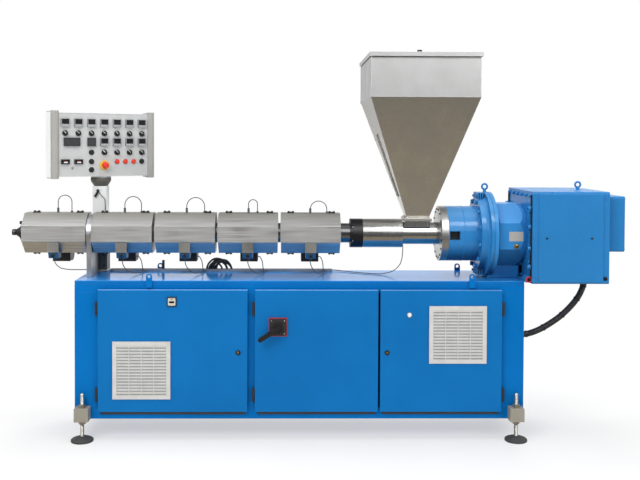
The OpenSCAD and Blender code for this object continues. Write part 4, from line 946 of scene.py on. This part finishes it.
def make_hopper_trim():
    """Weld seams, the lid's black knob and the frame of the sight glass."""
    low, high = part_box("hopper_bin")
    cone_low, cone_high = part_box("hopper_cone")
    lid_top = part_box("hopper_lid")[1].z
    mouth, bead, weld, weld_r = 0.058, 0.0015, 0.003, 0.0022
    middle, half = (low + high) / 2, (high - low) / 2
    trim = Piece("hopper_seams")
    trim.box((low.x - bead, low.y - bead, low.z - weld), (high.x + bead, high.y + bead, low.z + weld), BIN)
    for sx, sy in corners((-1, -1), (1, 1), 0):
        foot = (middle.x + sx * mouth, middle.y + sy * mouth, cone_low.z)
        trim.tube([foot, (middle.x + sx * half.x, middle.y + sy * half.y, cone_high.z)], weld_r, CONE, 8)
    trim.done("machine", "hopper_steel")

    profile = [(0, 0.0126), (0.004, 0.0105), (0.008, 0.0128), (0.0135, 0.0132), (0.0162, 0.0105)]
    knob = Piece("lid_knob")
    knob.lathe(profile, (middle.x - 0.03, low.y + 0.04, lid_top - 0.016), UP, KNOB)
    knob.done("lid", "hopper_steel")

    tall = cone_high.z - cone_low.z
    lean = math.atan((half.x - mouth) / tall)
    slope = tall / math.cos(lean)
    z0, z1, rail_y, rail, proud, screw_r = slope * 0.19, slope * 0.7, 0.0195, 0.004, 0.007, 0.0025
    place = Matrix.Translation((middle.x - mouth, middle.y, cone_low.z)) @ Matrix.Rotation(-lean, 4, "Y")
    strip = Piece("sight_frame", place)
    for y in (-rail_y, rail_y):
        strip.box((-proud, y - rail, z0 - 0.006), (0, y + rail, z1 + 0.006), CONE)
        for z in evenly(z0, z1, 5):
            strip.screw((-proud, y, z), LEFT, screw_r, ZINC)
    for z in (z0 - 0.003, z1 + 0.003):
        strip.box((-proud, -rail_y, z - rail), (0, rail_y, z + rail), CONE)
    strip.done("machine", "hopper_steel", bevel=0.0006)


make_hopper_trim()


# Control panel: pieces are made in the panel's own space, with its front towards -Y

SWIVEL = next(j for j in frame["joints"] if j["name"] == "panel_swivel")
PANEL_TURN = math.radians(30)
PANEL = Matrix.Translation(SWIVEL["pos_m"]) @ Matrix.Rotation(PANEL_TURN, 4, "Z")
PANEL_W, PANEL_H, PANEL_D = 0.6, 0.374, 0.12
HALF_W, PITCH, PANEL_FACE = PANEL_W / 2, PANEL_W / 8, -PANEL_D / 2
ROWS = [PANEL_H * share for share in (0.832, 0.675, 0.543, 0.386, 0.245, 0.188, 0.12)]
INSTRUMENT_T = 0.009


def at(column, row):
    return (column - 4) * PITCH, ROWS[row]


def make_instruments():
    """Controllers with a window over a row of keys, the darker meters and two displays."""
    y, half, edge, glass = PANEL_FACE - INSTRUMENT_T, 0.024, 0.0015, 0.0008
    window_z, window_w, window_h = 0.007, 0.018, 0.013
    pad_z, pad_w, pad_h, pad_t = -0.015, 0.021, 0.006, 0.0006
    key_reach, key_w, key_h, key_t = 0.0135, 0.003, 0.0025, 0.0012
    parts = Piece("instrument_faces", PANEL)
    for column, row in [(c, 0) for c in range(1, 8)] + [(c, 2) for c in range(4, 8)]:
        x, z = at(column, row)
        parts.border(x, z, half, half, y, 0.003, edge, KEYS)
        parts.plate(x, z + window_z, window_w, window_h, y, glass, DISPLAY)
        parts.plate(x, z + pad_z, pad_w, pad_h, y, pad_t, KEYS)
        for key_x in evenly(x - key_reach, x + key_reach, 4):
            parts.plate(key_x, z + pad_z, key_w, key_h, y - pad_t, key_t, KEY_CAP)
    meter_in, meter_h, line_in, line, line_z = 0.004, 0.02, 0.006, 0.0003, 0.01
    for column, half_w in ((1.5, 0.046), (3, half)):
        x, z = at(column, 2)
        parts.border(x, z, half_w, half, y, 0.0025, edge, BLACK)
        parts.plate(x, z, half_w - meter_in, meter_h, y, glass, METER)
        for dz in (-line_z, 0, line_z):
            parts.plate(x, z + dz, half_w - line_in, line, y - glass, line, BLACK)
    low_h, led_z, led_w, led_h, mark = 0.0135, 0.005, 0.0025, 0.003, 0.0004
    scale_x, scale_z, scale_w, scale_h = 0.0015, -0.0035, 0.0105, 0.0035
    for column in (1, 2):
        x, z = at(column, 4)
        parts.border(x, z, half, low_h, y, 0.002, edge, BLACK)
        parts.plate(x, z + 0.0005, 0.02, 0.0095, y, glass, DISPLAY)
        for led_x in evenly(x - 0.0095, x + 0.0065, 3):
            parts.plate(led_x, z + led_z, led_w, led_h, y - glass, mark, LED)
        parts.plate(x + scale_x, z + scale_z, scale_w, scale_h, y - glass, mark, POINTER)
    parts.done("panel", "black_plastic")


def make_controls():
    """Bezels under the knobs and buttons, the white pointers of the selectors and the stop's rim."""
    knob_t, line, tip, knob_r, chamfer = 0.018, 0.0012, 0.0145, 0.0165, 0.001
    turn = Matrix.Rotation(math.radians(-45), 4, "Y")
    parts = Piece("control_trim", PANEL)
    for column, row in [(c, 1) for c in range(1, 8)] + [(c, 3) for c in range(4, 8)]:
        x, z = at(column, row)
        parts.rod((x, PANEL_FACE, z), FRONT, knob_r, 0.003, BLACK, 28, chamfer)
        place = Matrix.Translation((x, PANEL_FACE - knob_t, z)) @ turn
        parts.box((-line, -0.0008, -0.001), (line, 0, tip), POINTER, place)
        parts.box((-line, 0.0, tip), (line, 0.008, tip + 0.001), POINTER, place)
    lamp_step, button_r = 0.667, 0.0155
    buttons = [(3, 3), (3, 4), (3, 6), (7, 4)] + [(5 + k * lamp_step, 4) for k in range(3)]
    for column, row in buttons:
        x, z = at(column, row)
        bezel = BLACK if column in (3, 7) else ZINC
        parts.rod((x, PANEL_FACE, z), FRONT, button_r, 0.0035, bezel, 28, chamfer)
    x, z = 0.115 - HALF_W, PANEL_H - 0.318
    slot_w, slot_h, slot_y, slot_t = 0.0008, 0.003, PANEL_FACE - 0.0039, 0.0007
    parts.rod((x, PANEL_FACE, z), FRONT, 0.0065, 0.004, ZINC, 20, chamfer)
    # The dark plate stands for the shaded key slot: painted shade.
    parts.plate(x, z, slot_w, slot_h, slot_y, slot_t, KNOB)
    screw_x, screw_z, screw_r = 0.036, 0.022, 0.0035
    for x, z in corners((-HALF_W, 0), (HALF_W, PANEL_H), screw_x, screw_z):
        parts.screw((x, PANEL_FACE, z), FRONT, screw_r, ZINC)
    parts.done("panel", "black_plastic")

    x, z = at(4, 5)
    inner, outer, bulge, deep = 0.0175, 0.0203, 0.0208, 0.006
    rim = [(0.0, inner), (0.0, outer), (deep / 2, bulge), (deep, outer), (deep, inner)]
    stop = Piece("stop_rim", PANEL)
    stop.lathe(rim, (x, PANEL_FACE - 0.021, z), FRONT, STOP, 40, closed=True)
    stop.done("stop", "lamp_red")


def make_panel_trim():
    """Rounded end profiles with grooves, plates on the ends and the seams of the face."""
    cap_w, cap_d, cap_back, over, lip, lip_w, lip_d = 0.021, 0.0145, 0.016, 0.004, 0.0025, 0.011, 0.055
    groove, groove_x, groove_y = 0.0012, 0.006, PANEL_FACE - 0.0036
    gap, side_t, side_front, side_back, side_end = 0.0004, 0.002, 0.018, 0.004, 0.002
    seam, seam_z, seam_end = 0.0015, 0.0085, 0.026
    arc = [math.radians(180 + 15 * k) for k in range(13)]
    outline = [(cap_w, cap_back), (-cap_w, cap_back)]
    outline += [(cap_w * math.cos(a), cap_d * math.sin(a)) for a in arc]
    parts = Piece("panel_grooves", PANEL)
    for side in (-1, 1):
        x = side * (HALF_W - 0.013)
        # Dark strips stand for the shaded grooves of the profiles: painted shade.
        for dx in (-groove_x, groove_x):
            parts.plate(x + dx, PANEL_H / 2, groove, PANEL_H / 2 - over, groove_y, 0.001, COUPLING)
        for z, end in ((0, -lip), (PANEL_H, PANEL_H + lip)):
            parts.box((x - lip_w, -lip_d, z), (x + lip_w, lip_d, end), CAP)
        parts.box((side * (HALF_W + gap), PANEL_FACE + side_front, side_end),
                  (side * (HALF_W + gap + side_t), PANEL_D / 2 - side_back, PANEL_H - side_end), SIDE)
        x, y = side * (HALF_W - 0.019), PANEL_FACE + 0.001
        parts.skin([[(x + px, y + py, z) for px, py in outline] for z in (-over, PANEL_H + over)], CAP)
    for z in (seam_z, PANEL_H - seam_z):
        parts.plate(0, z, HALF_W - seam_end, seam, PANEL_FACE, seam, FACE)
    parts.done("panel", "cap_grey", bevel=0.0006)


def make_column_trim():
    """Foot screws of the column, a clip with a thin lead on its front, and the sleeve round it."""
    low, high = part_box("panel_column")
    x, y = (low.x + high.x) / 2, (low.y + high.y) / 2
    front, foot, top, clip_x, screw_at, lead_r = y - 0.04, low.z + 0.012, high.z, x - 0.008, 0.04186, 0.0022
    trim = Piece("column_trim")
    for dx, dy in corners((-screw_at, -screw_at), (screw_at, screw_at), 0):
        trim.rod((x + dx, y + dy, foot), UP, 0.0022, 0.004, ZINC, 10, chamfer=0.0008)
    clip = [(0, 0.0085), (0.012, 0.0085), (0.015, 0.006)]
    trim.lathe(clip, (clip_x, front, top - 0.026), FRONT, KNOB, 20)
    place = Matrix.Translation((clip_x, front, top - 0.032)) @ Matrix.Rotation(math.radians(30), 4, "Y")
    tail_w, tail_d, tail_len = 0.006, 0.011, 0.034
    trim.box((-tail_w, -tail_d, -tail_len), (tail_w, 0, 0), KNOB, place)
    lead = [(x - 0.004, front - 0.008, top - 0.03), (x + 0.008, front - 0.007, top - 0.05),
            (x + 0.022, front - 0.004, top - 0.065), (x + 0.032, front - 0.003, top - 0.085),
            (x + 0.034, front - 0.003, top - 0.2), (x + 0.034, front - 0.003, foot + 0.004)]
    trim.tube(smooth_path(lead, 8), lead_r, LEAD, 8)
    inner, outer, sleeve_top, bolt_x, bolt_z, across = 0.0405, 0.0435, AXIS_Z - 0.115, 0.026, 0.025, 0.01
    for side in (-1, 1):
        trim.box((x + side * inner, y - inner, foot), (x + side * outer, y + inner, sleeve_top), SLEEVE)
        trim.box((x - outer, y + side * inner, foot), (x + outer, y + side * outer, sleeve_top), SLEEVE)
    for dx, z in corners((-bolt_x, foot), (bolt_x, sleeve_top), 0, bolt_z):
        trim.hex_bolt((x + dx, y - outer, z), FRONT, across, IRON)
    trim.done("machine", "panel_grey")


make_instruments()
make_controls()
make_panel_trim()
make_column_trim()


# Stage and light

WHITE = (1, 1, 1, 1)
# The floor: half its side, its two greys, and where it fades and from which share of white
FLOOR_HALF, FLOOR_GREYS = 30.0, ((0.83, 0.83, 0.83), (0.87, 0.87, 0.87))
FADE_START, FADE_END, NEAR_WHITE, FADE_SHAPE = 0.9, 3.4, 0.5, (0.75, 1, 1)
# Soft light that falls on surfaces from all round
SOFT_LEVEL = 0.38
# Each lamp: name, place, target, side and power
LAMPS = (("key", (-2.6, -4.6, 4.6), (0.0, 0.0, 0.9), 3.4, 210),
         ("fill", (3.6, -4.0, 2.4), (0.4, 0.0, 0.9), 2.6, 60),
         ("top", (0.0, 0.4, 5.2), (0.0, 0.0, 0.9), 4.0, 230),
         ("rim", (2.5, 4.5, 3.6), (0.2, 0.0, 1.0), 3.0, 90))
# Brightness of the card by its height in degrees over the horizon in front of the operator, and by x
CARD_HEIGHTS = ((-8, 0.25), (14, 0.25), (18, 2.8), (44, 2.8), (54, 0.5), (74, 0.6),
                (82, 0.9), (94, 0.9), (106, 0.3), (140, 0.3), (152, 0.9), (180, 0.9))
CARD_SIDES = ((-6, 1.32), (-3.5, 1.32), (-2.4, 1.15), (-1.7, 0.75), (-0.9, 0.4), (0.2, 0.45),
              (1.9, 1.0), (6, 1.0))
CARD_PEAK = 3.0
# The curved card: distance, half its length, steps, and first and last angle over the horizon
CARD_REACH, CARD_HALF, CARD_STEPS, CARD_FROM, CARD_TO = 9.0, 14.0, 24, -7, 160
# Glow of the floor card by how far it lies in front of the screw axis, and of the small lamp
FLOOR_CARDS = ((-9.0, -2.4, (0.13, 0.13, 0.13)), (-2.4, 0.6, (0.41, 0.355, 0.26)))
FLOOR_CARD_Z = 0.003
LAMP_AT, LAMP_HALF_W, LAMP_HALF_H, LAMP_GLOW = (1.9, -3.6, 4.7), 0.75, 0.5, 12.0
# The grey card behind the machine: its range of x, its y, its range of z and its glow
BACK_CARD = ((-0.9, 0.3), 4.0, (1.18, 2.7), (0.36, 0.36, 0.38))


def stage_sheet(name, points, material, place=(0, 0, 0), faces=((0, 1, 2, 3),), seen=False):
    """A sheet of the stage; where it isn't to be seen, only reflections show it."""
    mesh = bpy.data.meshes.new(name)
    mesh.from_pydata(points, [], faces)
    mesh.materials.append(material)
    sheet = bpy.data.objects.new(name, mesh)
    sheet.location = place
    if not seen:
        sheet.visible_camera = sheet.visible_diffuse = False
        sheet.visible_shadow = sheet.visible_transmission = False
    bpy.context.scene.collection.objects.link(sheet)


def level_sheet(x0, y0, x1, y1):
    return [(x0, y0, 0), (x1, y0, 0), (x1, y1, 0), (x0, y1, 0)]


def make_stage():
    """A pale floor that fades to white away from the machine."""
    made = Shader("floor_pale", Specular_IOR_Level=0.2)
    clouds = made.spread(made.noise(0.5, detail=3), 0.0, 1.0)
    made.finish(made.blend(clouds, *FLOOR_GREYS), 0.6)
    flat = made.node("ShaderNodeMapping", {"Vector": made.place, "Scale": FADE_SHAPE})
    far = made.node("ShaderNodeVectorMath", {0: flat.outputs["Vector"]}, operation="LENGTH")
    fade = made.node("ShaderNodeMapRange", {"Value": far.outputs["Value"], "From Min": FADE_START,
                                            "From Max": FADE_END, "To Min": NEAR_WHITE},
                     interpolation_type="SMOOTHSTEP")
    rays = made.node("ShaderNodeLightPath").outputs
    seen = made.math("MAXIMUM", rays["Is Camera Ray"], rays["Is Glossy Ray"])
    share = made.math("MULTIPLY", seen, fade.outputs["Result"])
    mix = made.node("ShaderNodeMixShader", {"Fac": share, 1: made.surface.outputs["BSDF"],
                                            2: made.light(WHITE, 1.0)})
    floor = level_sheet(-FLOOR_HALF, -FLOOR_HALF, FLOOR_HALF, FLOOR_HALF)
    stage_sheet("floor", floor, made.show(mix.outputs["Shader"]), seen=True)


def make_light():
    """White surroundings for the camera and for reflections, a plain level of soft light, and lamps."""
    world = bpy.data.worlds.new("studio")
    bpy.context.scene.world = world
    world.use_nodes = True
    tree = world.node_tree
    rays = add_node(tree, "ShaderNodeLightPath").outputs
    seen = rays["Is Camera Ray"]
    for kind in ("Is Glossy Ray", "Is Transmission Ray"):
        seen = add_math(tree, "MAXIMUM", seen, rays[kind])
    level = add_node(tree, "ShaderNodeMapRange", {"Value": seen, "To Min": SOFT_LEVEL, "To Max": 1.0})
    back = tree.nodes["Background"]
    connect(tree, WHITE, back.inputs["Color"])
    connect(tree, level.outputs["Result"], back.inputs["Strength"])
    for name, place, target, size, power in LAMPS:
        data = bpy.data.lights.new(name, "AREA")
        data.shape = "SQUARE"
        data.size = size
        data.energy = power
        lamp = bpy.data.objects.new(name, data)
        lamp.location = place
        lamp.visible_glossy = False
        lamp.rotation_euler = (Vector(target) - Vector(place)).to_track_quat("-Z", "Y").to_euler()
        bpy.context.scene.collection.objects.link(lamp)


def ramp_of(made, value, table, peak):
    """Brightness over a value by a table of (value, level), as a share of the peak."""
    low, high = table[0][0], table[-1][0]
    place = made.node("ShaderNodeMapRange", {"Value": value, "From Min": low, "From Max": high})
    ramp = made.node("ShaderNodeValToRGB", {"Fac": place.outputs["Result"]})
    points = ramp.color_ramp.elements
    while len(points) < len(table):
        points.new(0.5)
    for point, (at_value, level) in zip(points, table):
        share = level / peak
        point.position, point.color = (at_value - low) / (high - low), (share, share, share, 1)
    return ramp.outputs["Color"]


def glowing(name, colour, strength=1.0):
    made = Shader(name)
    return made.show(made.light((*colour, 1.0), strength))


def make_cards():
    """A curved soft box in front of and above the operator, and small cards for single reflections."""
    made = Shader("card")
    split = made.node("ShaderNodeSeparateXYZ", {"Vector": made.place}).outputs
    height = made.math("ARCTAN2", split["Z"], made.math("MULTIPLY", split["Y"], -1.0))
    tall = ramp_of(made, made.math("DEGREES", height), CARD_HEIGHTS, CARD_PEAK)
    wide = ramp_of(made, split["X"], CARD_SIDES, CARD_PEAK)
    both = made.node("ShaderNodeVectorMath", {0: tall, 1: wide}, operation="MULTIPLY").outputs["Vector"]
    angles = [math.radians(d) for d in evenly(CARD_FROM, CARD_TO, CARD_STEPS + 1)]
    points = [(x, -CARD_REACH * math.cos(a), CARD_REACH * math.sin(a))
              for a in angles for x in (-CARD_HALF, CARD_HALF)]
    faces = [(2 * k, 2 * k + 1, 2 * k + 3, 2 * k + 2) for k in range(CARD_STEPS)]
    stage_sheet("card", points, made.show(made.light(both, CARD_PEAK ** 2)), (0, 0, AXIS_Z), faces)
    for k, (far, near, colour) in enumerate(FLOOR_CARDS):
        name, points = f"floor_card_{k}", level_sheet(-CARD_HALF, far, CARD_HALF, near)
        stage_sheet(name, points, glowing(name, colour), (0, 0, FLOOR_CARD_Z))
    (x0, x1), y, (z0, z1), colour = BACK_CARD
    points = [(x0, y, z0), (x1, y, z0), (x1, y, z1), (x0, y, z1)]
    stage_sheet("back_card", points, glowing("back_card", colour))
    w, h = LAMP_HALF_W, LAMP_HALF_H
    points = [(-w, -h, -h), (w, -h, -h), (w, h, h), (-w, h, h)]
    stage_sheet("lamp_card", points, glowing("lamp_card", WHITE[:3], LAMP_GLOW), LAMP_AT)


make_stage()
make_light()
make_cards()
bpy.context.scene.view_settings.view_transform = "Standard"
